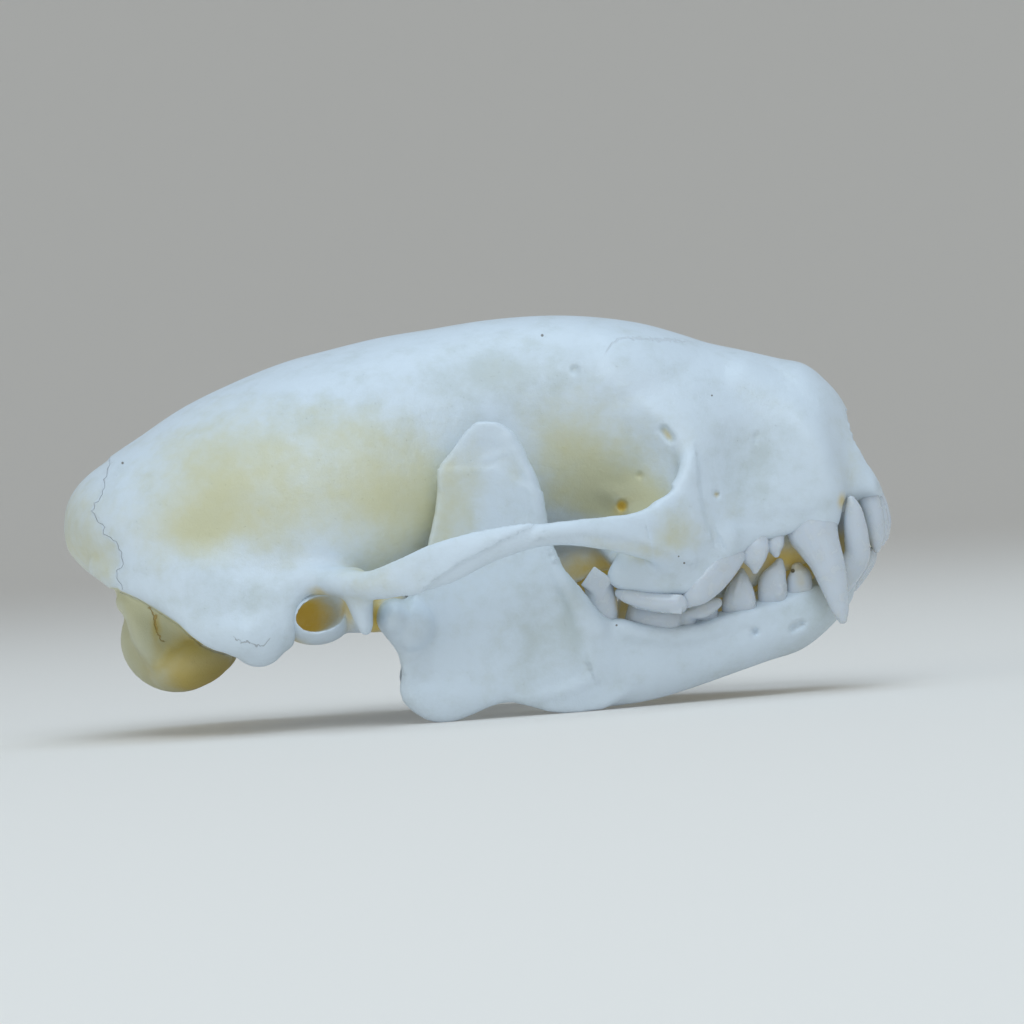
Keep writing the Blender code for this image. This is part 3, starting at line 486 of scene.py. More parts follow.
# That suture goes on this far below the plate's edge, from this point of NUCHAL_EDGE.
SUTURE_DROP = 0.15
SUTURE_REJOINS = 3
# Corners that close the outline of all that lies behind the suture.
BEHIND_SUTURE = ((-17.4, -20.0), (-60.0, -20.0), (-60.0, 50.0), (-31.6, 50.0))
# The suture between the cheekbone's two bones, and the one at its root.
ARCH_SUTURE = (
    (6.6, 18.8), (5.5, 18.0), (3.7, 17.1), (1.8, 16.2), (0.0, 15.2), (-1.8, 14.3), (-3.6, 13.1),
    (-4.9, 12.1), (-5.8, 10.9),
)
ROOT_SUTURE = ((14.7, 19.9), (15.0, 17.6), (15.5, 15.6), (16.0, 13.1))


class SkullForm(PropertyGroup):
    """Sizes of the bones and the teeth."""

    bone_grain: FloatProperty(
        name="Bone Grain",
        description="Edge of the small cells that the bones are fused in",
        default=0.24 * MM,
        unit="LENGTH",
    )
    tooth_grain: FloatProperty(
        name="Tooth Grain",
        description="Edge of the small cells that each tooth is fused in",
        default=0.13 * MM,
        unit="LENGTH",
    )
    suture_gap: FloatProperty(
        name="Suture Gap",
        description="Width of the crack where two bones meet",
        default=0.03 * MM,
        unit="LENGTH",
    )
    suture_wander: FloatProperty(
        name="Suture Wander",
        description="How far the crack strays to each side of its line",
        default=0.22 * MM,
        unit="LENGTH",
    )
    scroll_count: IntProperty(
        name="Scrolls",
        description="Thin scrolls of bone stacked in each half of the nose",
        default=4,
        min=1,
    )
    scroll_radius: FloatProperty(
        name="Scroll Radius",
        description="From the middle of a scroll to its outer edge",
        default=0.75 * MM,
        unit="LENGTH",
    )
    scroll_length: FloatProperty(
        name="Scroll Length",
        description="How deep a scroll reaches into the nose",
        default=4.4 * MM,
        unit="LENGTH",
    )
    scroll_thickness: FloatProperty(
        name="Scroll Thickness",
        description="Thickness of the bone that a scroll is rolled from",
        default=0.14 * MM,
        unit="LENGTH",
    )


class BoneFinish(PropertyGroup):
    """Colours of the bone and the teeth."""

    # Part of the cool lamp light is painted into this bone colour as a blue cast.
    bone: FloatVectorProperty(
        name="Bone",
        description="Clean, bleached bone",
        default=(0.665, 0.76, 0.85),
        subtype="COLOR",
    )
    # Thin bone's tone, also used as painted shade in the orbit, under the cheekbone and under the skull
    # base.
    olive: FloatVectorProperty(
        name="Thin Bone",
        description="Thin bone that light shines through, pale yellow green",
        default=(0.62, 0.615, 0.41),
        subtype="COLOR",
    )
    # Mostly painted shade in hollows and on sides that face away from the light, with some duller tone.
    grey: FloatVectorProperty(
        name="Dull Bone",
        description="Duller bone in the flats and hollows, faintly green",
        default=(0.50, 0.57, 0.57),
        subtype="COLOR",
    )
    # Painted warm shade and bounced light in holes and gaps, which also glows faintly.
    amber: FloatVectorProperty(
        name="Deep Bone",
        description="Bone deep in holes and gaps, orange brown",
        default=(0.50, 0.385, 0.09),
        subtype="COLOR",
    )
    enamel: FloatVectorProperty(
        name="Enamel",
        description="Crowns of the teeth",
        default=(0.60, 0.66, 0.73),
        subtype="COLOR",
    )


class StudioLight(PropertyGroup):
    """The stage and its lights."""

    floor: FloatVectorProperty(
        name="Floor",
        description="Colour of the floor and the wall behind it",
        default=(0.76, 0.745, 0.72),
        subtype="COLOR",
    )
    floor_reach: FloatProperty(
        name="Floor Reach",
        description="From the middle of the floor to where it turns up into the wall",
        default=1.2,
        unit="LENGTH",
    )
    sky: FloatVectorProperty(
        name="Sky",
        description="Colour of the light that comes from all round",
        default=(0.86, 0.935, 0.98),
        subtype="COLOR",
    )
    sky_strength: FloatProperty(
        name="Sky Strength",
        description="Strength of the light that comes from all round",
        default=0.41,
    )
    key_power: FloatProperty(
        name="Key Power",
        description="Power of the large soft lamp overhead",
        default=1.7,
        unit="POWER",
    )


def settings():
    scene = bpy.context.scene
    return scene.skull_form, scene.skull_finish, scene.skull_light


class Value:
    """A socket that takes part in sums as a number does."""

    def __init__(self, finish, socket):
        self.finish = finish
        self.socket = socket

    def sum_with(self, operation, *others):
        node = self.finish.node("ShaderNodeMath", {"operation": operation}, dict(enumerate(others)))
        return Value(self.finish, node.outputs[0])

    def __add__(self, other):
        return self.sum_with("ADD", self, other)

    __radd__ = __add__

    def __sub__(self, other):
        return self.sum_with("SUBTRACT", self, other)

    def __rsub__(self, other):
        return self.sum_with("SUBTRACT", other, self)

    def __mul__(self, other):
        return self.sum_with("MULTIPLY", self, other)

    __rmul__ = __mul__

    def __truediv__(self, other):
        return self.sum_with("DIVIDE", self, other)

    def __pow__(self, other):
        return self.sum_with("POWER", self, other)

    def size(self):
        return self.sum_with("ABSOLUTE", self)

    def most(self, other):
        return self.sum_with("MAXIMUM", self, other)


class Graph:
    """A node tree that is written as expressions."""

    def __init__(self, tree):
        self.tree = tree

    def node(self, kind, settings, sockets):
        """A node with its settings made first, then its sockets' values or links."""
        node = self.tree.nodes.new(kind)
        for key, value in settings.items():
            if key == "points":
                curve = node.mapping.curves[0]
                while len(curve.points) < len(value):
                    curve.points.new(1.0, 1.0)
                for point, place in zip(curve.points, value):
                    point.location = place
                    point.handle_type = "VECTOR"
                node.mapping.update()
            else:
                setattr(node, key, value)
        self.connect(node, sockets)
        return node

    def connect(self, node, sockets):
        """Gives a node's sockets, named or numbered, their values or links."""
        for key, value in sockets.items():
            value = value.socket if isinstance(value, Value) else value
            if isinstance(value, bpy.types.NodeSocket):
                self.tree.links.new(value, node.inputs[key])
            else:
                node.inputs[key].default_value = value

    def number(self, kind, settings, sockets):
        return Value(self, self.node(kind, settings, sockets).outputs[0])


class Finish(Graph):
    """A material and the nodes that feed its shader."""

    def __init__(self, name):
        self.material = bpy.data.materials.new(name)
        self.material.use_nodes = True
        super().__init__(self.material.node_tree)
        self.shader = self.tree.nodes["Principled BSDF"]

    def attribute(self, name):
        return self.node("ShaderNodeAttribute", {"attribute_name": name}, {})

    def mix(self, factor, one, other):
        """A colour between two, each a colour or a socket."""
        ends = [c if isinstance(c, bpy.types.NodeSocket) else (*c, 1.0) for c in (one, other)]
        node = self.node("ShaderNodeMix", {"data_type": "RGBA"}, {0: factor, 6: ends[0], 7: ends[1]})
        return node.outputs[2]

    def fade(self, value, low, high):
        """0 where the value is under low, 1 where it is over high, and soft between them."""
        return self.number(
            "ShaderNodeMapRange",
            {"interpolation_type": "SMOOTHSTEP"},
            {"Value": value, "From Min": low, "From Max": high},
        )

    def noise(self, vector, scale, detail=2.0, roughness=0.5):
        return self.number(
            "ShaderNodeTexNoise",
            {"noise_dimensions": "3D"},
            {"Vector": vector, "Scale": scale, "Detail": detail, "Roughness": roughness},
        )

    def into(self, sockets):
        """Gives the shader's own sockets their values or links."""
        self.connect(self.shader, sockets)


def smooth_rows(table, steps):
    """The table's rows with steps rows to each interval, on a smooth curve through them."""
    rows = np.array(table, float)
    place = np.concatenate([[0], np.cumsum(np.linalg.norm(np.diff(rows[:, :3], axis=0), axis=1))])
    slope = np.gradient(rows, place, axis=0)
    made = [rows[0]]
    for i in range(len(rows) - 1):
        span = place[i + 1] - place[i]
        for step in range(1, steps + 1):
            t = step / steps
            made.append(
                (2 * t**3 - 3 * t**2 + 1) * rows[i]
                + (t**3 - 2 * t**2 + t) * span * slope[i]
                + (3 * t**2 - 2 * t**3) * rows[i + 1]
                + (t**3 - t**2) * span * slope[i + 1]
            )
    return made


def add_loft(bm, rings):
    """A closed skin over rings of points, each ring with the same count, capped at both ends."""
    rows = [[bm.verts.new(Vector(point) * MM) for point in ring] for ring in rings]
    count = len(rows[0])
    for low, high in zip(rows, rows[1:]):
        for i in range(count):
            j = (i + 1) % count
            bm.faces.new((low[i], low[j], high[j], high[i]))
    bm.faces.new(rows[0][::-1])
    bm.faces.new(rows[-1])


def curved(share, power):
    """A cosine or sine reshaped, so that an ellipse turns squarer above a power of 2."""
    return math.copysign(abs(share) ** (2 / power), share)


def add_sections(bm, table, steps=4, count=64):
    """A loft of upright sections across x, alike on both sides of the midline."""
    rings = []
    for x, top, low, width, middle, upper, lower in smooth_rows(table, steps):
        ring = []
        for i in range(count):
            angle = 2 * math.pi * i / count
            side, rise = math.sin(angle), math.cos(angle)
            power, reach = (upper, top - middle) if rise > 0 else (lower, middle - low)
            ring.append((x, width * curved(side, power), middle + reach * curved(rise, power)))
        rings.append(ring)
    add_loft(bm, rings)


def add_limb(bm, table, side=1, steps=4, count=20, up=(0, 0, 1), power=2.0):
    """A loft of ellipses square to a path, with its half heights along up and its ends rounded."""
    rows = np.array(smooth_rows(table, steps))
    rows[:, 1] *= side
    along = np.gradient(rows[:, :3], axis=0)
    angles = [2 * math.pi * i / count for i in range(count)]
    rings = []
    for place, (point, way) in enumerate(zip(rows, along)):
        way = Vector(way).normalized()
        across = way.cross(Vector(up)).normalized()
        rise = across.cross(way)
        sizes = [0.3, 0.75, 1.0] if place == 0 else [1.0]
        if place == len(rows) - 1:
            sizes = [1.0, 0.75, 0.3]
        for size in sizes:
            slide = math.sqrt(1 - size**2) * min(point[3], point[4])
            centre = Vector(point[:3]) + way * (-slide if place == 0 else slide)
            high, wide = rise * point[3] * size, across * point[4] * size
            ring = []
            for angle in angles:
                spot = centre + high * curved(math.cos(angle), power)
                ring.append(spot + wide * curved(math.sin(angle), power))
            rings.append(ring)
    add_loft(bm, rings)


def add_ball(bm, centre, radii, turn=(0, 0, 0), segments=32):
    place = Matrix.Translation(Vector(centre) * MM) @ Euler(turn).to_matrix().to_4x4()
    place = place @ Matrix.Diagonal((*(Vector(radii) * MM), 1))
    bmesh.ops.create_uvsphere(bm, u_segments=segments, v_segments=segments // 2, radius=1, matrix=place)


def add_masses(bm, table, side, segments=32):
    """The rounded masses of one side."""
    for (x, y, z), radii, turn in table:
        add_ball(bm, (x, side * y, z), radii, (0, turn, 0), segments)


def add_block(bm, centre, size, turn=(0, 0, 0)):
    place = Matrix.Translation(Vector(centre) * MM) @ Euler(turn).to_matrix().to_4x4()
    bmesh.ops.create_cube(bm, size=1, matrix=place @ Matrix.Diagonal((*(Vector(size) * MM), 1)))


def add_plate(bm, outline, thickness, place):
    """An outline in the x-z plane given thickness, each point moved sideways by place(x, z)."""
    add_loft(bm, [[(x, place(x, z) + y, z) for x, z in outline] for y in (-thickness, thickness)])


def finish_mesh(bm, name):
    """The object that holds the mesh, with every face pointing out."""
    bmesh.ops.recalc_face_normals(bm, faces=bm.faces)
    mesh = bpy.data.meshes.new(name)
    bm.to_mesh(mesh)
    bm.free()
    obj = bpy.data.objects.new(name, mesh)
    bpy.context.scene.collection.objects.link(obj)
    return obj


def shape(name, add, *args, **sizes):
    bm = bmesh.new()
    add(bm, *args, **sizes)
    return finish_mesh(bm, name)


def apply_modifiers(obj):
    graph = bpy.context.evaluated_depsgraph_get()
    mesh = bpy.data.meshes.new_from_object(obj.evaluated_get(graph))
    obj.modifiers.clear()
    obj.data = mesh


def cut(obj, operation, others):
    """One Boolean of obj with every object of a list, which is then removed."""
    tools = bpy.data.collections.new("tools")
    bpy.context.scene.collection.children.link(tools)
    for other in others:
        bpy.context.scene.collection.objects.unlink(other)
        tools.objects.link(other)
    boolean = obj.modifiers.new(operation, "BOOLEAN")
    boolean.operation = operation
    boolean.operand_type = "COLLECTION"
    boolean.collection = tools
    boolean.solver = "MANIFOLD"
    apply_modifiers(obj)
    for other in others:
        bpy.data.objects.remove(other)
    bpy.data.collections.remove(tools)


def grow_together(obj, grain, smoothing):
    """Fuses the shapes in obj into one skin and rounds the creases where they meet."""
    remesh = obj.modifiers.new("Remesh", "REMESH")
    remesh.mode = "VOXEL"
    remesh.voxel_size = grain
    smooth = obj.modifiers.new("Smooth", "SMOOTH")
    smooth.factor = 0.5
    smooth.iterations = smoothing
    apply_modifiers(obj)


def thin_out(obj, triangles):
    """Keeps at most this many triangles, fewest where the surface is flattest."""
    obj.data.calc_loop_triangles()
    count = len(obj.data.loop_triangles)
    if count > triangles:
        decimate = obj.modifiers.new("Decimate", "DECIMATE")
        decimate.ratio = triangles / count
        apply_modifiers(obj)


def copy_of(obj, name):
    made = obj.copy()
    made.data = obj.data.copy()
    made.name = name
    bpy.context.scene.collection.objects.link(made)
    return made


def join(name, parts):
    """One object that holds the meshes of all parts."""
    bm = bmesh.new()
    for part in parts:
        bm.from_mesh(part.data)
        bpy.data.objects.remove(part)
    return finish_mesh(bm, name)


def mesh_graph(mesh):
    """The mesh's vertices and edges as arrays."""
    points = np.zeros(len(mesh.vertices) * 3, np.float32)
    mesh.vertices.foreach_get("co", points)
    ends = np.zeros(len(mesh.edges) * 2, np.int32)
    mesh.edges.foreach_get("vertices", ends)
    return points.reshape(-1, 3).astype(float), ends.reshape(-1, 2)


def keep_largest(obj):
    """Drops all but the largest of the separate surfaces in obj."""
    points, ends = mesh_graph(obj.data)
    label = np.arange(len(points))
    while True:
        low = np.minimum(label[ends[:, 0]], label[ends[:, 1]])
        new = label.copy()
        np.minimum.at(new, ends[:, 0], low)
        np.minimum.at(new, ends[:, 1], low)
        new = new[new]
        if (new == label).all():
            break
        label = new
    names, counts = np.unique(label, return_counts=True)
    doomed = label != names[counts.argmax()]
    if doomed.any():
        bm = bmesh.new()
        bm.from_mesh(obj.data)
        bm.verts.ensure_lookup_table()
        bmesh.ops.delete(bm, geom=[bm.verts[i] for i in np.flatnonzero(doomed)], context="VERTS")
        bm.to_mesh(obj.data)
        bm.free()


def along_path(path, spots):
    """Distance of each spot from a path, and the side it lies on, 1 for the left."""
    path = np.array(path, float)
    best = np.full(len(spots), np.inf)
    side = np.zeros(len(spots))
    for start, end in zip(path, path[1:]):
        way = end - start
        share = np.clip((spots - start) @ way / (way @ way), 0, 1)
        gap = spots - (start + share[:, None] * way)
        distance = np.linalg.norm(gap, axis=1)
        near = distance < best
        best[near] = distance[near]
        turn = way[0] * gap[:, 1] - way[1] * gap[:, 0]
        side[near] = np.sign(turn[near])
    return best, side


def ease(share):
    """0 up to 0, rising smoothly to 1 at 1."""
    share = np.clip(share, 0, 1)
    return share * share * (3 - 2 * share)


def soft(share):
    """1 at 0, falling smoothly to 0 at 1."""
    share = np.clip(share, 0, 1)
    return (1 - share**2) ** 2


class Clay:
    """A bone that is worked with soft strokes, the same on both sides, before it is set down."""

    def __init__(self, obj):
        self.obj = obj
        points, self.ends = mesh_graph(obj.data)
        self.points = points / MM
        self.refresh()

    def refresh(self):
        """Reads the normals again, after strokes that changed them."""
        self.write()
        normals = np.zeros(len(self.points) * 3, np.float32)
        self.obj.data.vertex_normals.foreach_get("vector", normals)
        self.normals = normals.reshape(-1, 3).astype(float)
        self.half = np.sign(self.points[:, 1])
        self.seen = self.points.copy()
        self.seen[:, 1] = np.abs(self.seen[:, 1])
        self.facing = self.normals[:, 1] * self.half

    def write(self):
        self.obj.data.vertices.foreach_set("co", (self.points * MM).astype(np.float32).ravel())
        self.obj.data.update()

    def picked(self, depth, facing):
        """Vertices within a range of depths from the midline that face the side at least so much."""
        return (self.seen[:, 1] > depth[0]) & (self.seen[:, 1] < depth[1]) & (self.facing > facing)

    def raise_by(self, amounts):
        self.points += self.normals * amounts[:, None]

    def ridge(self, path, width, height, depth=EVERY_DEPTH, facing=0.1):
        """A rounded ridge along a path in the side view, or a groove where the height is under 0."""
        distance, _ = along_path(path, self.seen[:, [0, 2]])
        self.raise_by(height * soft(distance / width) * self.picked(depth, facing))

    def ledge(self, path, height, sharp, fade, depth=EVERY_DEPTH, facing=0.1):
        """A step up on the left of a path, that falls away again over fade."""
        distance, side = along_path(path, self.seen[:, [0, 2]])
        rise = ease(0.5 + side * distance / sharp)
        self.raise_by(height * rise * soft(distance / fade) * self.picked(depth, facing))

    def hollow(self, centre, radii, height):
        """A soft hollow about a point on the surface, where it faces the side."""
        share = np.linalg.norm((self.seen - np.array(centre)) / np.array(radii), axis=1)
        self.raise_by(-height * soft(share) * (self.facing > 0.0))

    def calm(self, centre, radii, rounds):
        """Smooths a region, most at its middle, as a thumb would."""
        share = np.linalg.norm((self.seen - np.array(centre)) / np.array(radii), axis=1)
        near = np.flatnonzero(share < 1)
        place = np.full(len(self.points), -1)
        place[near] = np.arange(len(near))
        ends = place[self.ends]
        one, other = ends[(ends >= 0).all(axis=1)].T
        count = np.bincount(one, minlength=len(near)) + np.bincount(other, minlength=len(near))
        weight = (0.6 * soft(share[near]) * (count > 2))[:, None]
        spots = self.points[near]
        for _ in range(rounds):
            total = [
                np.bincount(one, axis[other], len(near)) + np.bincount(other, axis[one], len(near))
                for axis in spots.T
            ]
            spots += weight * (np.stack(total, axis=1) / count.clip(1)[:, None] - spots)
        self.points[near] = spots
        self.seen[near] = np.stack((spots[:, 0], np.abs(spots[:, 1]), spots[:, 2]), axis=1)

    def pit(self, x, z, radius, height, depth=EVERY_DEPTH, stretch=(0.0, 0.0)):
        """A small hole, straight in at a point of the side view, drawn out by stretch."""
        path = ((x - stretch[0], z - stretch[1]), (x + stretch[0] + 1e-4, z + stretch[1]))
        distance, _ = along_path(path, self.seen[:, [0, 2]])
        amount = height * soft(distance / radius) * self.picked(depth, 0.05)
        self.points[:, 1] -= self.half * amount


def jagged(path, wander, seed, step=0.35):
    """The path with a point every step, each strayed to the side by up to wander."""
    draw = random.Random(seed)
    path = [Vector(point) for point in path]
    made = [path[0]]
    for start, end in zip(path, path[1:]):
        count = max(1, round((end - start).length / step))
        across = Vector((-(end - start).y, (end - start).x)).normalized()
        for i in range(1, count + 1):
            stray = draw.uniform(-wander, wander) if i < count else 0.0
            made.append(start.lerp(end, i / count) + across * stray)
    made[-1] = path[-1]
    return made


def widen(path, distance):
    """The path moved to its left by a distance."""
    made = []
    for i, point in enumerate(path):
        way = path[min(i + 1, len(path) - 1)] - path[max(i - 1, 0)]
        made.append(point + Vector((-way.y, way.x)).normalized() * distance)
    return made


def prism(name, outline, y_low, y_high):
    """A closed outline in the side view drawn out across y."""
    return shape(name, add_loft, [[(p[0], y, p[1]) for p in outline] for y in (y_low, y_high)])


def from_sight(points):
    """Where points are that the lay-out shows: the near side looks larger and further on."""
    near = np.abs(points[:, 1])
    shrink = 1 - near / SIGHT
    made = points.copy()
    made[:, 0] = SIGHT_CENTRE[0] + (points[:, 0] - SIGHT_CENTRE[0]) * shrink - near * math.sin(SIGHT_YAW)
    made[:, 2] = SIGHT_CENTRE[1] + (points[:, 2] - SIGHT_CENTRE[1]) * shrink
    return made


def rest_matrix():
    """From the skull's own frame in metres to the way it rests."""
    return Matrix.Translation(Vector(REST_SHIFT) * MM) @ Matrix.Rotation(REST_TILT, 4, "Y")


CREASE_GAIN = 4.0  # brings a sharp crease to about 1


def hollowness(mesh, rounds=6):
    """How much each vertex lies in a hollow, under 0 on ridges, in shares of a sharp crease."""
    points, ends = mesh_graph(mesh)
    normals = np.zeros(len(points) * 3, np.float32)
    mesh.vertex_normals.foreach_get("vector", normals)
    normals = normals.reshape(-1, 3)
    count = np.bincount(ends.ravel(), minlength=len(points)).clip(1)
    gap = points[ends[:, 1]] - points[ends[:, 0]]
    length = np.linalg.norm(gap, axis=1).clip(1e-9)
    first = (gap * normals[ends[:, 0]]).sum(1) / length
    second = (-gap * normals[ends[:, 1]]).sum(1) / length
    value = np.bincount(ends[:, 0], first, len(points)) + np.bincount(ends[:, 1], second, len(points))
    value /= count
    for _ in range(rounds):
        total = np.bincount(ends[:, 0], value[ends[:, 1]], len(points))
        total += np.bincount(ends[:, 1], value[ends[:, 0]], len(points))
        value = 0.4 * value + 0.6 * total / count
    return value * CREASE_GAIN


# Stains: x, depth, z, their reach along each, and how strong they are. Olive is thin bone's tone, and
# painted shade in the orbit, under the cheekbone and under the skull base.
OLIVE_TONE_AND_SHADE = (
    (-20.0, 15.0, 21.0, 13.0, 9.0, 6.5, 0.85),
    (-25.5, 14.0, 17.0, 6.0, 9.0, 3.6, 0.70),
    (-6.0, 14.0, 20.0, 7.0, 9.0, 9.0, 0.95),
    (-14.0, 15.0, 27.5, 8.0, 9.0, 4.0, 0.35),
    (-26.0, 12.0, 26.0, 9.0, 9.0, 5.0, 0.45),
    (8.0, 9.0, 24.5, 6.0, 7.0, 5.5, 0.70),
    (12.0, 9.0, 20.0, 7.0, 6.0, 2.6, 0.70),
    (-36.0, 3.0, 16.0, 3.4, 12.0, 7.0, 0.75),
    (-33.0, 8.0, 14.0, 2.4, 5.0, 4.0, 0.50),
    (-30.0, 6.0, 7.0, 5.0, 7.0, 5.0, 1.10),
    (-26.0, 7.0, 5.0, 5.0, 7.0, 3.6, 1.20),
    (-9.5, 17.0, 12.6, 3.0, 5.0, 2.4, 0.75),
    (14.0, 8.0, 20.0, 4.5, 5.0, 4.0, 0.50),
    (11.5, 8.0, 23.5, 7.0, 6.0, 7.0, 0.40),
    (17.6, 13.0, 17.0, 3.0, 5.0, 2.4, 0.70),
    (12.0, 15.0, 15.5, 6.0, 6.0, 1.6, 0.70),
    (33.5, 5.0, 24.0, 3.0, 7.0, 5.0, 0.35),
)
# Grey: mostly painted shade in hollows and on sides that face away from the light, with some duller tone.
GREY_SHADE_AND_TONE = (
    (2.0, 8.0, 31.0, 9.0, 8.0, 3.2, 0.80),
    (-12.0, 15.0, 27.0, 8.0, 9.0, 3.5, 0.60),
    (24.5, 8.0, 22.8, 4.4, 7.0, 4.4, 0.55),
    (5.0, 14.0, 9.0, 4.0, 6.0, 6.0, 0.60),
    (8.2, 13.0, 8.6, 1.2, 5.0, 4.5, 0.60),
    (31.0, 5.0, 9.5, 5.0, 6.0, 4.0, 0.45),
    (-22.0, 15.0, 11.8, 8.0, 8.0, 3.0, 0.42),
    (12.0, 8.0, 22.0, 5.0, 6.0, 6.0, 0.40),
)
# Amber: painted warm shade and bounced light in holes, gaps and under the skull base.
AMBER_PAINTED_SHADE = (
    (-24.2, 9.0, 4.8, 4.6, 5.0, 3.2, 1.90),
    (-30.0, 7.0, 6.5, 5.0, 6.0, 6.0, 0.22),
    (-14.2, 13.6, 9.8, 2.0, 2.2, 1.5, 0.25),
    (7.6, 9.0, 25.4, 2.2, 4.0, 1.8, 0.22),
    (-16.4, 12.4, 9.3, 2.8, 3.0, 2.8, 1.50),
    (-14.2, 14.6, 12.0, 1.6, 2.8, 0.7, 1.10),
    (-11.8, 13.0, 10.2, 0.8, 4.0, 2.6, 0.90),
    (-9.4, 12.0, 9.6, 1.1, 4.6, 2.4, 1.40),
    (-7.0, 15.0, 11.3, 2.6, 5.0, 0.5, 0.90),
    (-29.1, 9.0, 8.6, 0.5, 3.0, 1.6, 0.60),
    (12.8, 6.5, 19.2, 1.0, 3.0, 1.0, 1.40),
    (13.5, 11.0, 20.2, 3.4, 4.0, 1.2, 0.35),
    (16.9, 9.5, 25.8, 0.7, 3.0, 0.7, 0.50),
    (21.3, 9.5, 20.4, 0.5, 3.0, 0.5, 0.65),
    (22.6, 5.6, 13.6, 3.0, 3.0, 2.6, 0.90),
    (10.0, 6.0, 13.5, 5.0, 6.0, 2.4, 0.90),
    (27.4, 5.0, 14.8, 4.4, 4.0, 1.8, 0.90),
    (12.4, 9.5, 10.6, 0.8, 3.0, 1.4, 1.20),
    (32.5, 7.0, 20.0, 0.7, 2.0, 1.2, 0.90),
    (27.0, 1.5, 24.0, 4.6, 3.0, 4.0, 0.80),
    (28.9, 6.2, 12.6, 1.2, 2.0, 1.5, 0.55),
    (-30.5, 0.0, 8.0, 3.5, 4.0, 3.5, 0.60),
)


TONE_LIMIT = 2.4  # the most that stains add up to


def stained(spots, stains):
    """How strongly each spot, with its depth, is stained by a list of soft blots."""
    total = np.zeros(len(spots))
    for x, y, z, reach_x, reach_y, reach_z, strength in stains:
        share = (spots - np.array((x, y, z))) / np.array((reach_x, reach_y, reach_z))
        total += strength * np.exp(-1.5 * (share**2).sum(1))
    return np.clip(total, 0, TONE_LIMIT)


def under_edge(seen):
    """1 where the thin bone under the nuchal edge is, near the midline, and 0 elsewhere."""
    distance, side = along_path(NUCHAL_EDGE, seen[:, [0, 2]])
    below = np.clip(0.5 - side * distance / 0.35, 0, 1) * (seen[:, 0] < -21)
    return below * np.clip((12.4 - seen[:, 1]) / 1.2, 0, 1) * np.clip((-19.0 - seen[:, 0]) / 3, 0, 1)


def inside_mouth(seen, facing):
    """How much each vertex faces the mouth from its walls, where little light comes."""
    x, z = seen[:, 0], seen[:, 2]
    within = np.clip(x - 8, 0, 1) * np.clip((z - 7) / 2, 0, 1) * np.clip((18.5 - z) / 2, 0, 1)
    return within * np.clip(-1.4 * facing, 0, 1)


def dress(obj, material, nodes, amber=AMBER_PAINTED_SHADE):
    """Marks the finished piece in the lay-out, sets it down, and hands it to the frame."""
    mesh = obj.data
    mesh.shade_smooth()
    mesh.set_sharp_from_angle(angle=math.radians(60))
    points, _ = mesh_graph(mesh)
    points /= MM
    seen = points.copy()
    seen[:, 1] = np.abs(seen[:, 1])
    normals = np.zeros(len(points) * 3, np.float32)
    mesh.vertex_normals.foreach_get("vector", normals)
    facing = normals.reshape(-1, 3)[:, 1] * np.sign(points[:, 1])
    layout = mesh.attributes.new("layout", "FLOAT_VECTOR", "POINT")
    layout.data.foreach_set("vector", points.astype(np.float32).ravel())
    tone = mesh.attributes.new("tone", "FLOAT_COLOR", "POINT")
    shades = np.ones((len(points), 4), np.float32)
    # Olive channel: stains plus the bone under the nuchal edge, thin bone's tone and painted shade under its
    # overhang.
    shades[:, 0] = np.clip(stained(seen, OLIVE_TONE_AND_SHADE) + 0.7 * under_edge(seen), 0, TONE_LIMIT)
    # Amber channel: painted shade in holes and gaps, and on the mouth's walls where little light comes.
    shades[:, 1] = np.clip(stained(seen, amber) + 0.8 * inside_mouth(seen, facing), 0, TONE_LIMIT)
    # Hollowness, which the finishes turn into painted shade in creases and painted highlight on ridges.
    shades[:, 2] = np.clip(0.5 + 0.5 * hollowness(mesh), 0, 1)
    shades[:, 3] = stained(seen, GREY_SHADE_AND_TONE)
    tone.data.foreach_set("color", shades.ravel())
    down = np.array(rest_matrix())
    placed = (from_sight(points) * MM) @ down[:3, :3].T + down[:3, 3]
    placed[:, 2] = placed[:, 2].clip(0)
    mesh.vertices.foreach_set("co", placed.astype(np.float32).ravel())
    mesh.update()
    mesh.name = obj.name
    mesh.materials.clear()
    mesh.materials.append(material)
    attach(obj, "root")
    if nodes:
        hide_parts(*nodes)


def near_spot(finish, place, x, z, radius):
    """1 within a small round spot of the side view, and 0 outside it."""
    gap = (place[0] - x) ** 2.0 + (place[1] - z) ** 2.0
    return 1.0 - finish.fade(gap, (radius * 0.5) ** 2, radius**2)


def near_line(finish, along, across, path, width):
    """1 on a line of the side view that runs on along one axis, and 0 a width away from it."""
    steps, strays = [p[0] for p in path], [p[1] for p in path]
    span, rise = steps[-1] - steps[0], max(strays) - min(strays) or 1.0
    share = (along - steps[0]) / span
    points = [((step - steps[0]) / span, (stray - min(strays)) / rise) for step, stray in path]
    level = finish.number("ShaderNodeFloatCurve", {"points": points}, {"Value": share})
    gap = (across - (level * rise + min(strays))).size()
    inside = finish.fade(share, -0.01, 0.02) * (1.0 - finish.fade(share, 0.98, 1.01))
    return (1.0 - finish.fade(gap, width * 0.4, width)) * inside


# Cracks and sutures as x, z, but the upright one as z, x.
MASTOID_CRACK = ((-22.2, 7.75), (-21.5, 7.1), (-20.9, 7.3), (-20.2, 6.8), (-19.4, 6.9), (-18.9, 7.5))
CONDYLE_CRACK = ((7.3, -28.3), (7.6, -28.7), (8.1, -29.05), (9.0, -29.1), (9.6, -29.2), (10.4, -29.7))
NASAL_SUTURE = ((11.3, 33.2), (11.9, 34.1), (12.8, 34.6), (19.8, 34.25), (25.0, 33.2), (28.8, 32.3))
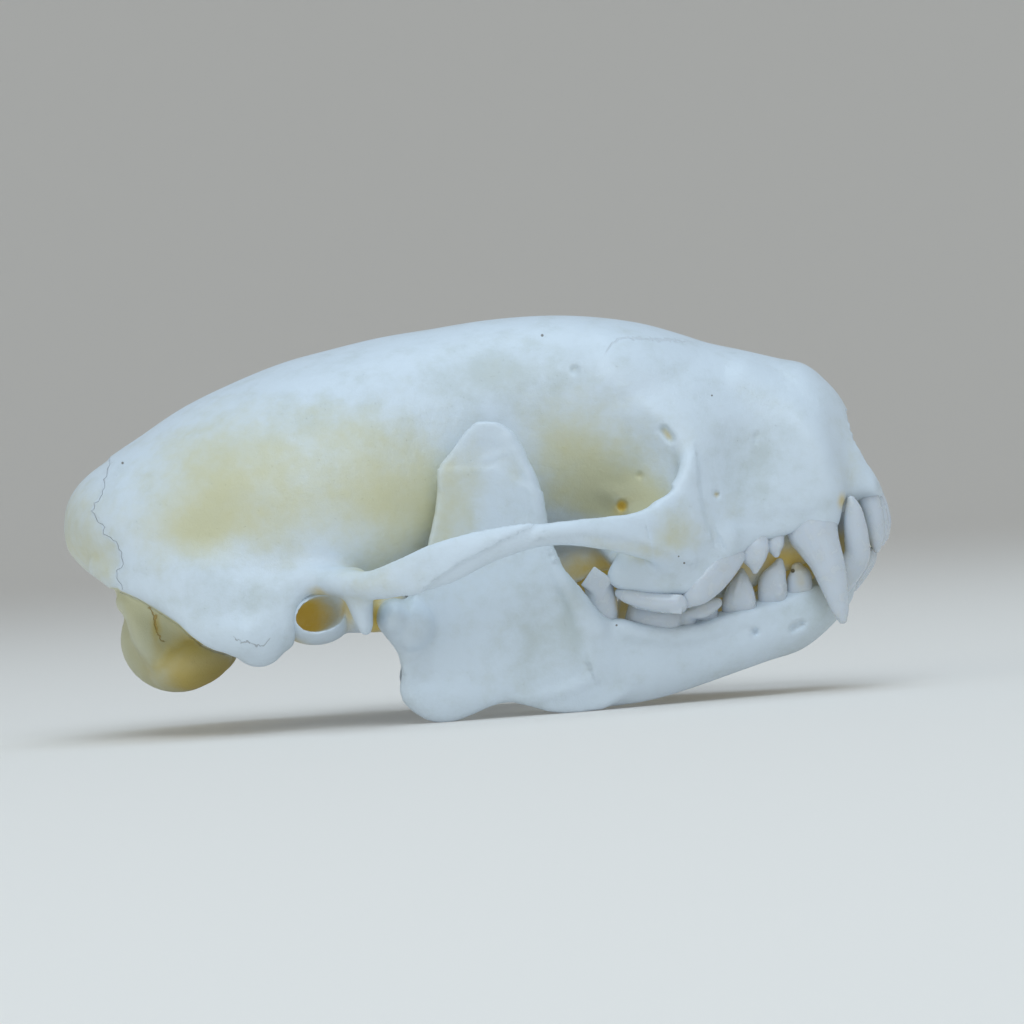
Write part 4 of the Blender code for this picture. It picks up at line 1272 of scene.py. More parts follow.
# Dark spots: x, z and radius.
# The tooth's hole is painted shade, with no hole in the mesh.
TOOTH_HOLE = (28.2, 13.6, 0.24)
SPECKS = (
    (5.6, 34.8, 0.16),
    (-32.1, 23.3, 0.14),
    (12.3, 8.7, 0.12),
    (18.4, 14.3, 0.12),
    (17.9, 14.9, 0.09),
    (20.9, 29.4, 0.10),
)
SEAM_GREY = (0.42, 0.42, 0.44)
CRACK_BROWN = (0.42, 0.27, 0.06)
SPECK_BROWN = (0.10, 0.08, 0.06)
HOLE_SHADE = (0.06, 0.05, 0.03)
DULL_ENAMEL = (0.55, 0.57, 0.54)
NO_LIGHT = (0.0, 0.0, 0.0)
BONE_PAINTED_GLOW = 0.2  # painted glow: emission from the amber painted shade in holes, standing in for the light that thin bone lets through
# Painted glow of the enamel where its painted warm shade is, in the gaps and at the gum line.
ENAMEL_PAINTED_GLOW = 0.14


def shade(colour, share):
    """The colour darkened, or made paler by a share over 1."""
    return tuple(min(1.0, share * c) for c in colour)


def bump_of(finish, height):
    """The normal of a surface raised by a height in millimetres."""
    sockets = {"Strength": 1.0, "Distance": MM, "Height": height}
    return finish.node("ShaderNodeBump", {}, sockets).outputs[0]


def bone_finish(name, colours, cracks):
    """Bleached bone with painted light and shade: paler on its ridges as painted highlight, olive where it
    is thin and as painted shade in creases, amber as painted shade and a faint painted glow in its holes.
    """
    finish = Finish(name)
    layout = finish.attribute("layout").outputs["Vector"]
    split = finish.node("ShaderNodeSeparateXYZ", {}, {0: layout})
    x, y, z = (Value(finish, split.outputs[i]) for i in range(3))
    tones = finish.attribute("tone")
    tone = finish.node("ShaderNodeSeparateColor", {}, {0: tones.outputs["Color"]})
    olive, amber, hollow = (Value(finish, tone.outputs[i]) for i in range(3))
    dull_and_shade = Value(finish, tones.outputs["Alpha"])
    clouds = finish.noise(layout, 0.22, 3.0)
    blots = finish.noise(layout, 0.42, 3.0, 0.6)
    mottle = finish.noise(layout, 1.1, 4.0, 0.6)
    grain = finish.noise(layout, 7.0, 3.0, 0.6)
    # Creases (hollow) pull the colour towards olive: painted shade.
    thin = olive + (clouds - 0.5) * 0.7 + (blots - 0.5) * 0.4 + (mottle - 0.5) * 0.25 + (hollow - 0.5) * 0.9
    thin = finish.fade(thin, 0.05, 1.15)
    # Amber mask: the amber painted shade, stronger in creases.
    deep = finish.fade(amber + (hollow - 0.5) * 0.8 + (mottle - 0.5) * 0.3, 0.12, 1.0)
    # Grey mask: painted shade from the grey stains, with random duller blots.
    dull_and_shade = finish.fade(dull_and_shade * 0.8 + (blots - 0.5) * 1.3 + (grain - 0.5) * 0.25 + 0.12, 0.0, 0.9)
    colour = finish.mix(dull_and_shade * 0.75, colours.bone, colours.grey)
    colour = finish.mix(thin, colour, colours.olive)
    # A darker olive where olive is strongest: painted shade under the skull base.
    colour = finish.mix(finish.fade(olive, 0.9, 1.9) * 0.55, colour, shade(colours.olive, 0.55))
    colour = finish.mix(deep, colour, colours.amber)
    # A darker amber in the deepest holes: painted shade.
    colour = finish.mix(finish.fade(amber, 1.0, 2.2) * 0.4, colour, shade(colours.amber, 0.5))
    # Paler bone on the ridges: painted highlight.
    pale = finish.fade(0.5 - hollow, 0.02, 0.35)
    colour = finish.mix(pale * 0.5, colour, shade(colours.bone, 1.07))
    outer = finish.fade(y.size(), 2.2, 4.5)
    stray = finish.noise(layout, 2.4, 2.0) - 0.5
    place = (x + stray * 0.5, z + stray * 0.7)
    marks = near_spot(finish, (x, z), *SPECKS[0])
    for speck in SPECKS[1:]:
        marks = marks.most(near_spot(finish, (x, z), *speck))
    pores = finish.number("ShaderNodeTexVoronoi", {}, {"Vector": layout, "Scale": 2.6, "Randomness": 1.0})
    pores = (1.0 - finish.fade(pores, 0.03, 0.11)) * finish.fade(blots, 0.45, 0.62)
    height = (mottle - 0.5) * 0.06 + (grain - 0.5) * 0.015 - pores * 0.05
    if cracks:
        crack = near_line(finish, *place, MASTOID_CRACK, 0.07) * 0.5
        split_line = near_line(finish, place[1], place[0], CONDYLE_CRACK, 0.14)
        seam = near_line(finish, *place, NASAL_SUTURE, 0.16) * 0.35 * outer
        marks = marks.most(crack) * outer
        height = height - crack * 0.06 - seam * 0.10 - split_line * 0.10
        colour = finish.mix(seam * 0.6, colour, SEAM_GREY)
        colour = finish.mix(split_line * 0.8, colour, CRACK_BROWN)
    colour = finish.mix(marks * 0.85, colour, SPECK_BROWN)
    # Painted glow: the amber painted shade gives off light, except at the back of the skull.
    painted_glow = deep * finish.fade(x, -21.0, -19.0)
    finish.into(
        {
            "Base Color": colour,
            "Roughness": 0.42 + (mottle - 0.5) * 0.18 + deep * 0.15,
            "Normal": bump_of(finish, height),
            "Emission Color": finish.mix(painted_glow, NO_LIGHT, colours.amber),
            "Emission Strength": BONE_PAINTED_GLOW,
        }
    )
    return finish.material


def enamel_finish(name, colours):
    """Tooth enamel: smooth and a little glossy, with painted warm shade and a faint painted glow towards the
    gum line and in the gaps.
    """
    finish = Finish(name)
    layout = finish.attribute("layout").outputs["Vector"]
    tone = finish.node("ShaderNodeSeparateColor", {}, {0: finish.attribute("tone").outputs["Color"]})
    amber, hollow = (Value(finish, tone.outputs[i]) for i in (1, 2))
    mottle = finish.noise(layout, 0.9, 3.0)
    lines = finish.noise(layout, 5.0, 3.0, 0.6)
    # Painted warm shade in the gaps and at the gum line, from the amber channel and the creases.
    gap = finish.fade(amber + (hollow - 0.5) * 1.1 + (mottle - 0.5) * 0.3, 0.25, 1.1)
    colour = finish.mix(gap, colours.enamel, colours.amber)
    colour = finish.mix(finish.fade(mottle, 0.45, 0.75) * 0.3, colour, DULL_ENAMEL)
    split = finish.node("ShaderNodeSeparateXYZ", {}, {0: layout})
    x, z = (Value(finish, split.outputs[i]) for i in (0, 2))
    colour = finish.mix(near_spot(finish, (x, z), *TOOTH_HOLE) * 0.9, colour, HOLE_SHADE)
    height = (lines - 0.5) * 0.008 + (mottle - 0.5) * 0.03
    finish.into(
        {
            "Base Color": colour,
            "Roughness": 0.26 + (mottle - 0.5) * 0.14,
            "Normal": bump_of(finish, height),
            "Emission Color": finish.mix(gap, NO_LIGHT, colours.amber),
            "Emission Strength": ENAMEL_PAINTED_GLOW,
            "Subsurface Weight": 0.3,
            "Subsurface Radius": (1.0, 0.8, 0.6),
            "Subsurface Scale": 0.0012,
            "Coat Weight": 0.15,
            "Coat Roughness": 0.2,
        }
    )
    return finish.material


def material_of(name, make, *args):
    """The material of this name, made the first time that it is asked for."""
    return bpy.data.materials.get(name) or make(name, *args)


def bleached_bone(colours):
    return material_of("bleached_bone", bone_finish, colours, True)


def nuchal_cutter(side):
    """What lies under the plate behind the ear, with a sloped wall towards the midline."""
    edge = [Vector(point) for point in NUCHAL_EDGE]
    corners = [Vector((-17.2, -6.0)), Vector((-42.0, -6.0))]
    rings = []
    for y, drop in ((7.0, 1.3), (8.4, 0.4), (9.6, 0.0), (22.0, 0.0)):
        rings.append([(p.x, side * y, p.y) for p in widen(edge, -drop) + corners])
    return shape("nuchal", add_loft, rings)


def rough_cranium(form):
    """Braincase, muzzle, cheekbones and the processes of the skull base, fused."""
    bm = bmesh.new()
    add_sections(bm, BRAINCASE)
    muzzle = shape("muzzle", add_sections, MUZZLE)
    orbits = []
    for side in SIDES.values():
        for orbit in ORBITS:
            orbits.append(shape("orbit", add_masses, (orbit,), side, segments=64))
    cut(muzzle, "DIFFERENCE", orbits)
    bm.from_mesh(muzzle.data)
    bpy.data.objects.remove(muzzle)
    limbs = (CHEEKBONE, ORBIT_CORNER, NUCHAL_CREST, MASTOID_PLATE, POSTGLENOID, SKULL_BASE, PTERYGOID)
    for side in SIDES.values():
        for table in limbs:
            add_limb(bm, table, side)
        add_limb(bm, ALVEOLAR_RIDGE, side, power=3.5)
        for table in (EAR_BACK, EAR_WEDGE):
            add_limb(bm, table, side, up=(1, 0, 0))
        add_masses(bm, CRANIUM_MASSES, side)
    cranium = finish_mesh(bm, "cranium")
    grow_together(cranium, ROUGH_GRAIN, 7)
    cutters = [shape("palate", add_sections, PALATE_VAULT, count=40), shape("throat", add_limb, THROAT)]
    for side in SIDES.values():
        cutters.append(nuchal_cutter(side))
        cutters.append(shape("nose", add_limb, NOSE_OPENING, side, count=40))
        cutters.append(shape("pocket", add_limb, ORBIT_POCKET, side))
        cutters.append(shape("canal", add_limb, EAR_CANAL, side, up=CANAL_UP))
    cut(cranium, "DIFFERENCE", cutters)
    bm = bmesh.new()
    bm.from_mesh(cranium.data)
    add_limb(bm, BASE_BRIDGE)
    add_block(bm, *SEPTUM)
    (x, y, z), size = CONDYLE_BLOCK
    for side in SIDES.values():
        add_limb(bm, PALATE_EDGE, side)
        add_limb(bm, PARACONDYLAR, side, up=(1, 0, 0))
        add_masses(bm, OCCIPITAL_CONDYLE, side)
        add_block(bm, (x, side * y, z), size)
    bpy.data.objects.remove(cranium)
    cranium = finish_mesh(bm, "cranium")
    grow_together(cranium, form.bone_grain, 4)
    keep_largest(cranium)
    return cranium


# Regions of the cranium that are smoothed: middle, reach along each axis, and rounds.
CALM_SPOTS = (
    ((19.5, 12.6, 18.6), (4.2, 5.0, 6.0), 60),
    ((16.5, 13.4, 13.8), (4.6, 4.0, 3.4), 50),
    ((9.0, 8.5, 18.0), (5.0, 5.0, 5.0), 60),
    ((-22.0, 14.5, 13.0), (13.0, 6.0, 5.5), 120),
    ((6.0, 8.5, 31.0), (7.0, 5.0, 3.0), 40),
    ((16.5, 10.5, 27.0), (5.0, 4.5, 4.5), 80),
    ((-19.0, 15.5, 9.0), (3.4, 4.0, 3.6), 30),
    ((-29.3, 8.5, 8.0), (3.4, 3.4, 4.4), 60),
    ((-10.8, 16.5, 10.0), (2.2, 3.0, 3.0), 40),
    ((-31.0, 3.5, 10.5), (4.0, 6.0, 4.0), 40),
)
# Hollows of the cranium: middle, reach along each axis, and depth.
HOLLOWS = (
    ((24.0, 9.5, 23.2), (4.6, 5.0, 5.0), 0.75),
    ((32.2, 5.5, 26.0), (2.6, 4.0, 4.2), 0.25),
    ((13.0, 6.5, 22.0), (4.5, 4.0, 5.0), 0.4),
    ((4.0, 9.0, 26.5), (6.5, 5.0, 5.0), 0.4),
    ((-5.0, 13.0, 25.0), (6.0, 4.0, 5.5), 0.25),
    ((-23.0, 15.0, 18.0), (6.0, 4.0, 4.0), 0.3),
)


def sculpt_cranium(cranium):
    """Rims, lines, hollows and holes of the cranium, from the nose to the back."""
    clay = Clay(cranium)
    for spot in CALM_SPOTS:
        clay.calm(*spot)
    clay.refresh()
    orbit_rim = ((13.0, 29.9), (15.3, 28.4), (16.9, 26.7), (18.0, 24.7), (18.8, 22.2))
    clay.ridge(orbit_rim, 1.2, 0.10, depth=(6, 16), facing=-0.2)
    root_front = ((20.6, 17.2), (20.1, 18.6), (19.7, 21.0), (19.5, 23.4))
    clay.ledge(root_front, 0.28, 0.8, 2.2, depth=(8, 16))
    for hollow in HOLLOWS:
        clay.hollow(*hollow)
    temporal_line = ((-20.0, 29.0), (-12.0, 30.6), (-5.0, 31.9), (2.0, 32.9), (7.2, 32.2), (10.0, 31.0))
    clay.ridge(temporal_line, 2.4, 0.07)
    canine_root = ((24.0, 31.2), (26.6, 29.2), (29.0, 26.6), (30.8, 23.8), (31.6, 21.2))
    clay.ridge(canine_root, 2.3, 0.38)
    clay.refresh()
    clay.ledge(OCCIPITAL_SUTURE[1:], 0.14, 0.5, 4.0, facing=-1.0)
    clay.ledge(ARCH_SUTURE[::-1], 0.24, 0.35, 1.8, depth=(18, 25), facing=0.2)
    arch_under = ((5.85, 16.5), (9.0, 16.9), (12.6, 16.6), (16.0, 15.5), (18.4, 14.4))
    clay.ledge(arch_under, 0.26, 0.7, 1.6, depth=(13, 22), facing=-0.2)
    clay.pit(8.55, 31.7, 0.6, 0.45)
    clay.pit(16.9, 25.9, 0.6, 0.6, stretch=(0.3, -0.4))
    clay.pit(14.4, 22.2, 0.45, 0.3, depth=(0, 12))
    clay.pit(12.8, 19.5, 0.62, 1.1, depth=(0, 12))
    clay.pit(21.3, 20.5, 0.45, 0.6)
    clay.pit(21.5, 16.5, 0.3, 0.22, stretch=(0.45, -0.8))
    clay.pit(24.9, 25.6, 0.35, 0.2, stretch=(0.05, 0.3))
    clay.write()


def open_braincase(cranium):
    """Cuts the hollow of the braincase, and its way out at the back."""
    cutters = [
        shape("cavity", add_sections, BRAIN_CAVITY, steps=2, count=40),
        shape("way_out", add_limb, WAY_OUT, count=32, up=(0.65, 0, -0.76)),
    ]
    cut(cranium, "DIFFERENCE", cutters)
    keep_largest(cranium)


def part_bones(cranium, form):
    """Parts the occipital bone and the two cheekbones from the cranium along their sutures."""
    wander, gap = form.suture_wander / MM, form.suture_gap / MM
    line = jagged(OCCIPITAL_SUTURE, wander, seed=3)
    line += widen([Vector(point) for point in NUCHAL_EDGE], -SUTURE_DROP)[SUTURE_REJOINS:]
    corners = [Vector(point) for point in BEHIND_SUTURE]
    occiput = copy_of(cranium, "occipital_bone")
    cut(occiput, "INTERSECT", [prism("inside", widen(line, -gap / 2) + corners, -30, 30)])
    cut(cranium, "DIFFERENCE", [prism("outside", widen(line, gap / 2) + corners, -30, 30)])
    keep_largest(occiput)
    keep_largest(cranium)
    bones = {"occiput": occiput}
    arch = jagged(ARCH_SUTURE[::-1], wander * 0.4, seed=5)
    root = [Vector(point) for point in ROOT_SUTURE]
    for side_name, side in SIDES.items():
        low, high = sorted((side * 14.0, side * 26.0))
        inner, outer = (prism("part", root + widen(arch, step), low, high) for step in (-gap / 2, gap / 2))
        jugal = copy_of(cranium, "cheekbone_" + side_name)
        cut(jugal, "INTERSECT", [inner])
        cut(cranium, "DIFFERENCE", [outer])
        keep_largest(jugal)
        keep_largest(cranium)
        bones["jugal_" + side_name] = jugal
    return bones


class SKULL_OT_cranium(Operator):
    """Builds the cranium, the occipital bone and the two cheekbones"""

    bl_idname = "skull.cranium"
    bl_label = "Cranium"

    def execute(self, context):
        form, colours, _ = settings()
        cranium = rough_cranium(form)
        sculpt_cranium(cranium)
        thin_out(cranium, CRANIUM_TRIANGLES)
        open_braincase(cranium)
        bones = part_bones(cranium, form)
        bone = bleached_bone(colours)
        arches = ("squamosal_arch_left", "squamosal_arch_right")
        dress(cranium, bone, ("braincase", "face", *arches))
        for node, obj in bones.items():
            dress(obj, bone, (node,))
        return {"FINISHED"}


def ear_capsule(side, name):
    """Ear capsule with the lip of the ear canal."""
    capsule = shape(name, add_masses, EAR_CAPSULE, side)
    grow_together(capsule, ROUGH_GRAIN, 5)
    cut(capsule, "DIFFERENCE", [shape("canal", add_limb, EAR_CANAL, side, up=CANAL_UP)])
    keep_largest(capsule)
    grow_together(capsule, CAPSULE_GRAIN, 9)
    return capsule


def scroll_tree(inputs):
    """Geometry nodes: rolled sheets of bone stacked in both halves of the nose."""
    tree = bpy.data.node_groups.new("nose_scrolls", "GeometryNodeTree")
    keys = {}
    for name, kind in inputs.items():
        keys[name] = tree.interface.new_socket(name=name, in_out="INPUT", socket_type=kind).identifier
    tree.interface.new_socket(name="Geometry", in_out="OUTPUT", socket_type="NodeSocketGeometry")
    graph = Graph(tree)
    given = graph.node("NodeGroupInput", {}, {}).outputs
    radius, thickness = Value(graph, given["Radius"]), Value(graph, given["Thickness"])
    size = {
        "Resolution": 16,
        "Rotations": SCROLL_TURNS,
        "Start Radius": radius * 0.25,
        "End Radius": radius,
        "Height": 0.0,
    }
    spiral = graph.node("GeometryNodeCurveSpiral", {}, size)
    strip = graph.node(
        "GeometryNodeCurvePrimitiveQuadrilateral", {}, {"Width": thickness, "Height": given["Length"]}
    )
    sheet = graph.node(
        "GeometryNodeCurveToMesh",
        {},
        {"Curve": spiral.outputs[0], "Profile Curve": strip.outputs[0], "Fill Caps": True},
    )
    turned = graph.node(
        "GeometryNodeTransform", {}, {"Geometry": sheet.outputs[0], "Rotation": (0, math.pi / 2, 0)}
    )
    stacks = []
    for side in SIDES.values():
        start, step = (
            graph.node(
                "ShaderNodeVectorMath", {"operation": "MULTIPLY"}, {0: given[name], 1: (1, side, 1)}
            ).outputs[0]
            for name in ("Start", "Step")
        )
        line = graph.node(
            "GeometryNodeMeshLine",
            {"mode": "OFFSET"},
            {"Count": given["Count"], "Start Location": start, "Offset": step},
        )
        roll = graph.node(
            "FunctionNodeRandomValue",
            {"data_type": "FLOAT_VECTOR"},
            {"Min": SCROLL_ROLL[0], "Max": SCROLL_ROLL[1], "Seed": 4 + side},
        )
        stacks.append(
            graph.node(
                "GeometryNodeInstanceOnPoints",
                {},
                {"Points": line.outputs[0], "Instance": turned.outputs[0], "Rotation": roll.outputs[0]},
            )
        )
    both = graph.node("GeometryNodeJoinGeometry", {}, {0: stacks[0].outputs[0]})
    graph.connect(both, {0: stacks[1].outputs[0]})
    real = graph.node("GeometryNodeRealizeInstances", {}, {0: both.outputs[0]})
    done = graph.node(
        "GeometryNodeSetMaterial", {}, {"Geometry": real.outputs[0], "Material": given["Material"]}
    )
    graph.node("NodeGroupOutput", {}, {0: done.outputs[0]})
    return tree, keys


class SKULL_OT_scrolls(Operator):
    """Builds the thin scrolls of bone inside the nose"""

    bl_idname = "skull.scrolls"
    bl_label = "Nose Scrolls"

    def execute(self, context):
        form, colours, _ = settings()
        bone = bleached_bone(colours)
        values = {
            "Count": ("NodeSocketInt", form.scroll_count),
            "Radius": ("NodeSocketFloat", form.scroll_radius),
            "Length": ("NodeSocketFloat", form.scroll_length),
            "Thickness": ("NodeSocketFloat", form.scroll_thickness),
            "Start": ("NodeSocketVector", tuple(Vector(SCROLL_START) * MM)),
            "Step": ("NodeSocketVector", tuple(Vector(SCROLL_STEP) * MM)),
            "Material": ("NodeSocketMaterial", bone),
        }
        tree, keys = scroll_tree({name: kind for name, (kind, _) in values.items()})
        scrolls = shape("nose_scrolls", add_block, (0, 0, 0), (1, 1, 1))
        modifier = scrolls.modifiers.new("Scrolls", "NODES")
        modifier.node_group = tree
        for name, (_, value) in values.items():
            modifier[keys[name]] = value
        apply_modifiers(scrolls)
        dress(scrolls, bone, ())
        return {"FINISHED"}


class SKULL_OT_ear_capsules(Operator):
    """Builds the ear capsule of each side, with its canal"""

    bl_idname = "skull.ear_capsules"
    bl_label = "Ear Capsules"

    def execute(self, context):
        _, colours, _ = settings()
        bone = bleached_bone(colours)
        for side_name, side in SIDES.items():
            capsule = ear_capsule(side, "capsule_" + side_name)
            dress(capsule, bone, ("ear_capsule_" + side_name,))
        return {"FINISHED"}


def jaw_lean(x, z):
    """How far to the side the flat of the jaw stands."""
    return 13.9 - 0.17 * max(x - 1.0, 0) - 0.004 * max(x - 1.0, 0) ** 2 + 0.02 * (z - 12)


def jaw_half(side, name, form):
    """One half of the lower jaw without its teeth."""

    def add(bm):
        add_limb(bm, JAW_BODY, side)
        add_limb(bm, LOWER_GUM, side, power=3.5)
        add_plate(bm, RAMUS, RAMUS_HALF_THICKNESS, lambda x, z: side * jaw_lean(x, z))
        for table in (CORONOID_EDGE, ANGLE_RIDGE, CONDYLE_NECK):
            add_limb(bm, table, side)
        add_masses(bm, JAW_CONDYLE, side)

    jaw = shape(name, add)
    grow_together(jaw, ROUGH_GRAIN, 6)
    grow_together(jaw, form.bone_grain, 2)
    return jaw


def sculpt_jaw(jaw):
    """The muscle's hollow in the jaw's flat, its front ridge, and the nerve holes."""
    clay = Clay(jaw)
    clay.calm((2.0, 13.5, 4.0), (12.0, 4.0, 4.5), 60)
    clay.refresh()
    front = ((6.6, 14.0), (7.4, 11.4), (8.1, 9.2), (8.9, 7.2), (9.5, 5.8))
    clay.ledge(front, 0.50, 1.3, 3.6, depth=(8, 20))
    clay.ridge(((10.2, 3.9), (7.4, 2.7), (3.8, 2.0)), 0.9, 0.16)
    clay.hollow((4.6, 13.5, 9.4), (4.5, 4.0, 6.5), 0.42)
    clay.ridge(((2.6, 25.6), (4.3, 22.0), (5.2, 18.0)), 0.9, 0.12)
    muscle_line = ((5.0, 21.0), (3.6, 21.6), (1.4, 22.9), (-1.0, 22.9), (-3.4, 22.8))
    clay.ledge(muscle_line, 0.16, 0.6, 3.0)
    clay.ridge(((0.3, 23.6), (2.2, 24.2)), 0.5, 0.10)
    clay.hollow((1.0, 14.0, 24.3), (2.0, 3.0, 1.8), 0.2)
    rear_edge = ((-6.2, 10.8), (-6.6, 9.2), (-6.9, 7.4), (-6.8, 5.4))
    clay.ledge(rear_edge, 0.30, 0.8, 3.0, depth=(8, 20))
    clay.pit(24.8, 8.1, 0.5, 0.6)
    clay.pit(28.6, 8.6, 0.5, 0.5, stretch=(0.4, 0.2))
    clay.write()


class SKULL_OT_jaws(Operator):
    """Builds the two halves of the lower jaw"""

    bl_idname = "skull.jaws"
    bl_label = "Lower Jaw"

    def execute(self, context):
        form, colours, _ = settings()
        bone = material_of("bleached_jaw", bone_finish, colours, False)
        for side_name, side in SIDES.items():
            jaw = jaw_half(side, "mandible_" + side_name, form)
            sculpt_jaw(jaw)
            thin_out(jaw, JAW_TRIANGLES)
            far_side = shape("far_side", add_block, (20, -side * 10, 10), (80, 20 + 2 * JAW_MIDLINE_GAP, 60))
            cut(jaw, "DIFFERENCE", [far_side])
            keep_largest(jaw)
            amber = [stain for stain in AMBER_PAINTED_SHADE if stain[0] > 8]
            dress(jaw, bone, ("jaw_" + side_name,), amber)
        return {"FINISHED"}


# How square the sections of each kind of tooth are.
TOOTH_POWERS = {"peg": 2.2, "crown": 2.8, "blade": 2.5}


def tooth_row(teeth, side, name, form):
    """A side's teeth, each fused on its own and then gathered in one piece."""
    made = []
    for limbs in teeth.values():
        bm = bmesh.new()
        kind = "peg"
        for table in limbs:
            if isinstance(table, str):
                kind = table
            elif kind == "block":
                (x, y, z), size, turn = table
                add_block(bm, (x, side * y, z), size, (0, turn, 0))
            else:
                up = (0, 0, 1) if kind == "blade" else (1, 0, 0)
                add_limb(bm, table, side, up=up, power=TOOTH_POWERS[kind])
        tooth = finish_mesh(bm, "tooth")
        grow_together(tooth, form.tooth_grain, 4)
        made.append(tooth)
    return join(name, made)


class SKULL_OT_teeth(Operator):
    """Builds the teeth of both jaws"""

    bl_idname = "skull.teeth"
    bl_label = "Teeth"

    def execute(self, context):
        form, colours, _ = settings()
        enamel = material_of("tooth_enamel", enamel_finish, colours)
        for side_name, side in SIDES.items():
            for row, teeth in (("upper", UPPER_TEETH), ("lower", LOWER_TEETH)):
                made = tooth_row(teeth, side, row + "_teeth_" + side_name, form)
                thin_out(made, TEETH_TRIANGLES)
                dress(made, enamel, ())
        return {"FINISHED"}


FLOOR_SIDES = 96
TURN_UP = 0.6  # m, radius of the curve from the floor up to the wall
TURN_STEPS = 16
WALL_TOP = 1.5
PAPER_GLOW = 0.10
# Lamps: share of the key's power, place and width in metres, and colour.
LAMPS = {
    "key": (1.0, (0.02, -0.42, 0.56), 0.5, (0.77, 0.89, 1.0)),
    "fill": (0.14, (0.2, -0.62, 0.22), 0.5, (1.0, 0.98, 0.94)),
    "side": (0.27, (-0.5, -0.34, 0.2), 0.4, (0.97, 1.0, 0.95)),
    "top": (0.46, (0.05, 0.1, 0.6), 0.4, (0.70, 0.86, 1.0)),
}
LAMP_TARGET = (0, 0, 0.018)


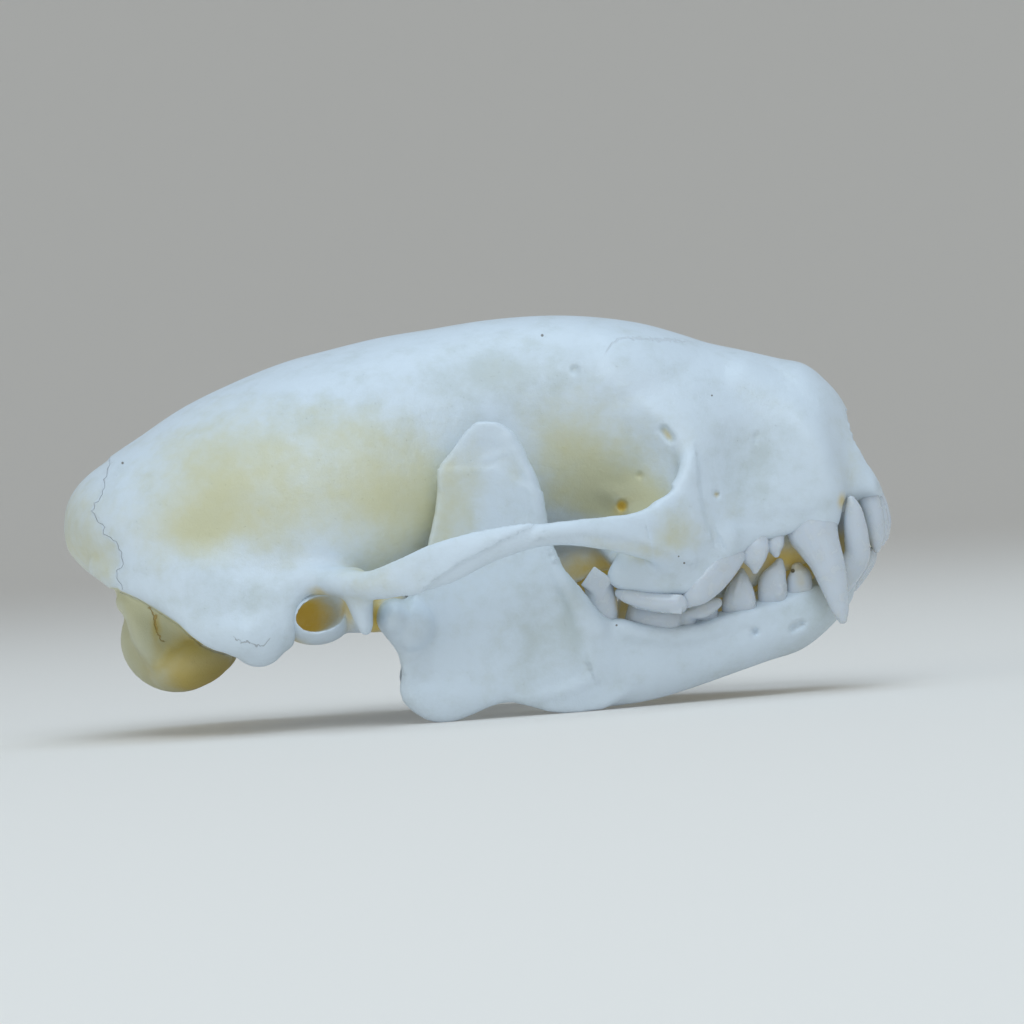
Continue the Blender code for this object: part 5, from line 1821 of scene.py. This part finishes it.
class SKULL_OT_stage(Operator):
    """Builds the floor, the soft lights and the camera"""

    bl_idname = "skull.stage"
    bl_label = "Stage"

    def execute(self, context):
        _, _, light = settings()
        self.add_floor(light)
        for name, (share, place, width, colour) in LAMPS.items():
            self.add_lamp(name, light.key_power * share, place, width, colour)
        world = bpy.data.worlds.new("studio_sky")
        world.use_nodes = True
        background = world.node_tree.nodes["Background"]
        background.inputs[0].default_value = (*light.sky, 1.0)
        background.inputs[1].default_value = light.sky_strength
        bpy.context.scene.world = world
        bpy.context.scene.view_settings.view_transform = "Standard"
        self.add_camera()
        return {"FINISHED"}

    def add_floor(self, light):
        """A round floor that turns up into a wall on every side."""
        reach = light.floor_reach
        profile = [(reach * 0.5, 0.0), (reach, 0.0)]
        for i in range(1, TURN_STEPS + 1):
            angle = math.pi / 2 * i / TURN_STEPS
            profile.append((reach + TURN_UP * math.sin(angle), TURN_UP * (1 - math.cos(angle))))
        profile.append((reach + TURN_UP, WALL_TOP))
        angles = [2 * math.pi * i / FLOOR_SIDES for i in range(FLOOR_SIDES)]
        bm = bmesh.new()
        rows = []
        for radius, level in profile:
            rows.append([bm.verts.new((radius * math.cos(a), radius * math.sin(a), level)) for a in angles])
        bm.faces.new(rows[0])
        for low, high in zip(rows, rows[1:]):
            for i in range(FLOOR_SIDES):
                j = (i + 1) % FLOOR_SIDES
                bm.faces.new((low[i], low[j], high[j], high[i]))
        floor = finish_mesh(bm, "studio_floor")
        if floor.data.polygons[0].normal.z < 0:
            floor.data.flip_normals()
        floor.data.shade_smooth()
        finish = Finish("studio_paper")
        paper = (*light.floor, 1.0)
        finish.into(
            {
                "Base Color": paper,
                "Roughness": 0.85,
                "Specular IOR Level": 0.2,
                "Emission Color": paper,
                "Emission Strength": PAPER_GLOW,
            }
        )
        floor.data.materials.append(finish.material)

    def add_lamp(self, name, power, place, width, colour):
        """A round soft lamp that faces the skull."""
        data = bpy.data.lights.new(name, "AREA")
        data.shape = "DISK"
        data.size = width
        data.energy = power
        data.color = colour
        lamp = bpy.data.objects.new(name, data)
        lamp.location = place
        lamp.rotation_euler = (Vector(LAMP_TARGET) - lamp.location).to_track_quat("-Z", "Y").to_euler()
        bpy.context.scene.collection.objects.link(lamp)

    def add_camera(self):
        """Stands where the photograph was taken from, turned with the skull as it rests."""
        back = Vector((-math.sin(SIGHT_YAW), -math.cos(SIGHT_YAW), 0)) * SIGHT
        centre = Vector((SIGHT_CENTRE[0], 0, SIGHT_CENTRE[1]))
        place = Matrix.Translation((centre + back) * MM)
        turn = Euler((math.pi / 2, 0, -SIGHT_YAW)).to_matrix().to_4x4()
        data = bpy.data.cameras.new("camera")
        data.sensor_width = SENSOR
        data.lens = SENSOR * SIGHT / PICTURE_WIDTH
        data.clip_start = 0.01
        camera = bpy.data.objects.new("camera", data)
        camera.matrix_world = rest_matrix() @ place @ turn
        bpy.context.scene.collection.objects.link(camera)
        bpy.context.scene.camera = camera


class SKULL_PT_panel(Panel):
    """Lists the skull's pieces and the settings that they use"""

    bl_label = "Skull"
    bl_idname = "SKULL_PT_panel"
    bl_space_type = "VIEW_3D"
    bl_region_type = "UI"
    bl_category = "Skull"

    def draw(self, context):
        for group in settings():
            box = self.layout.box()
            for key in group.__annotations__:
                box.prop(group, key)
        for operator in OPERATORS:
            self.layout.operator(operator.bl_idname)


OPERATORS = (
    SKULL_OT_stage,
    SKULL_OT_cranium,
    SKULL_OT_scrolls,
    SKULL_OT_ear_capsules,
    SKULL_OT_jaws,
    SKULL_OT_teeth,
)
GROUPS = {"skull_form": SkullForm, "skull_finish": BoneFinish, "skull_light": StudioLight}


def register():
    for group in GROUPS.values():
        bpy.utils.register_class(group)
    for operator in OPERATORS:
        bpy.utils.register_class(operator)
    bpy.utils.register_class(SKULL_PT_panel)
    for name, group in GROUPS.items():
        setattr(bpy.types.Scene, name, PointerProperty(type=group))


def unregister():
    for name in GROUPS:
        delattr(bpy.types.Scene, name)
    bpy.utils.unregister_class(SKULL_PT_panel)
    for operator in reversed(OPERATORS):
        bpy.utils.unregister_class(operator)
    for group in reversed(GROUPS.values()):
        bpy.utils.unregister_class(group)


def main():
    register()
    bpy.ops.skull.stage()
    bpy.ops.skull.cranium()
    bpy.ops.skull.scrolls()
    bpy.ops.skull.ear_capsules()
    bpy.ops.skull.jaws()
    bpy.ops.skull.teeth()


if __name__ == "__main__":
    main()
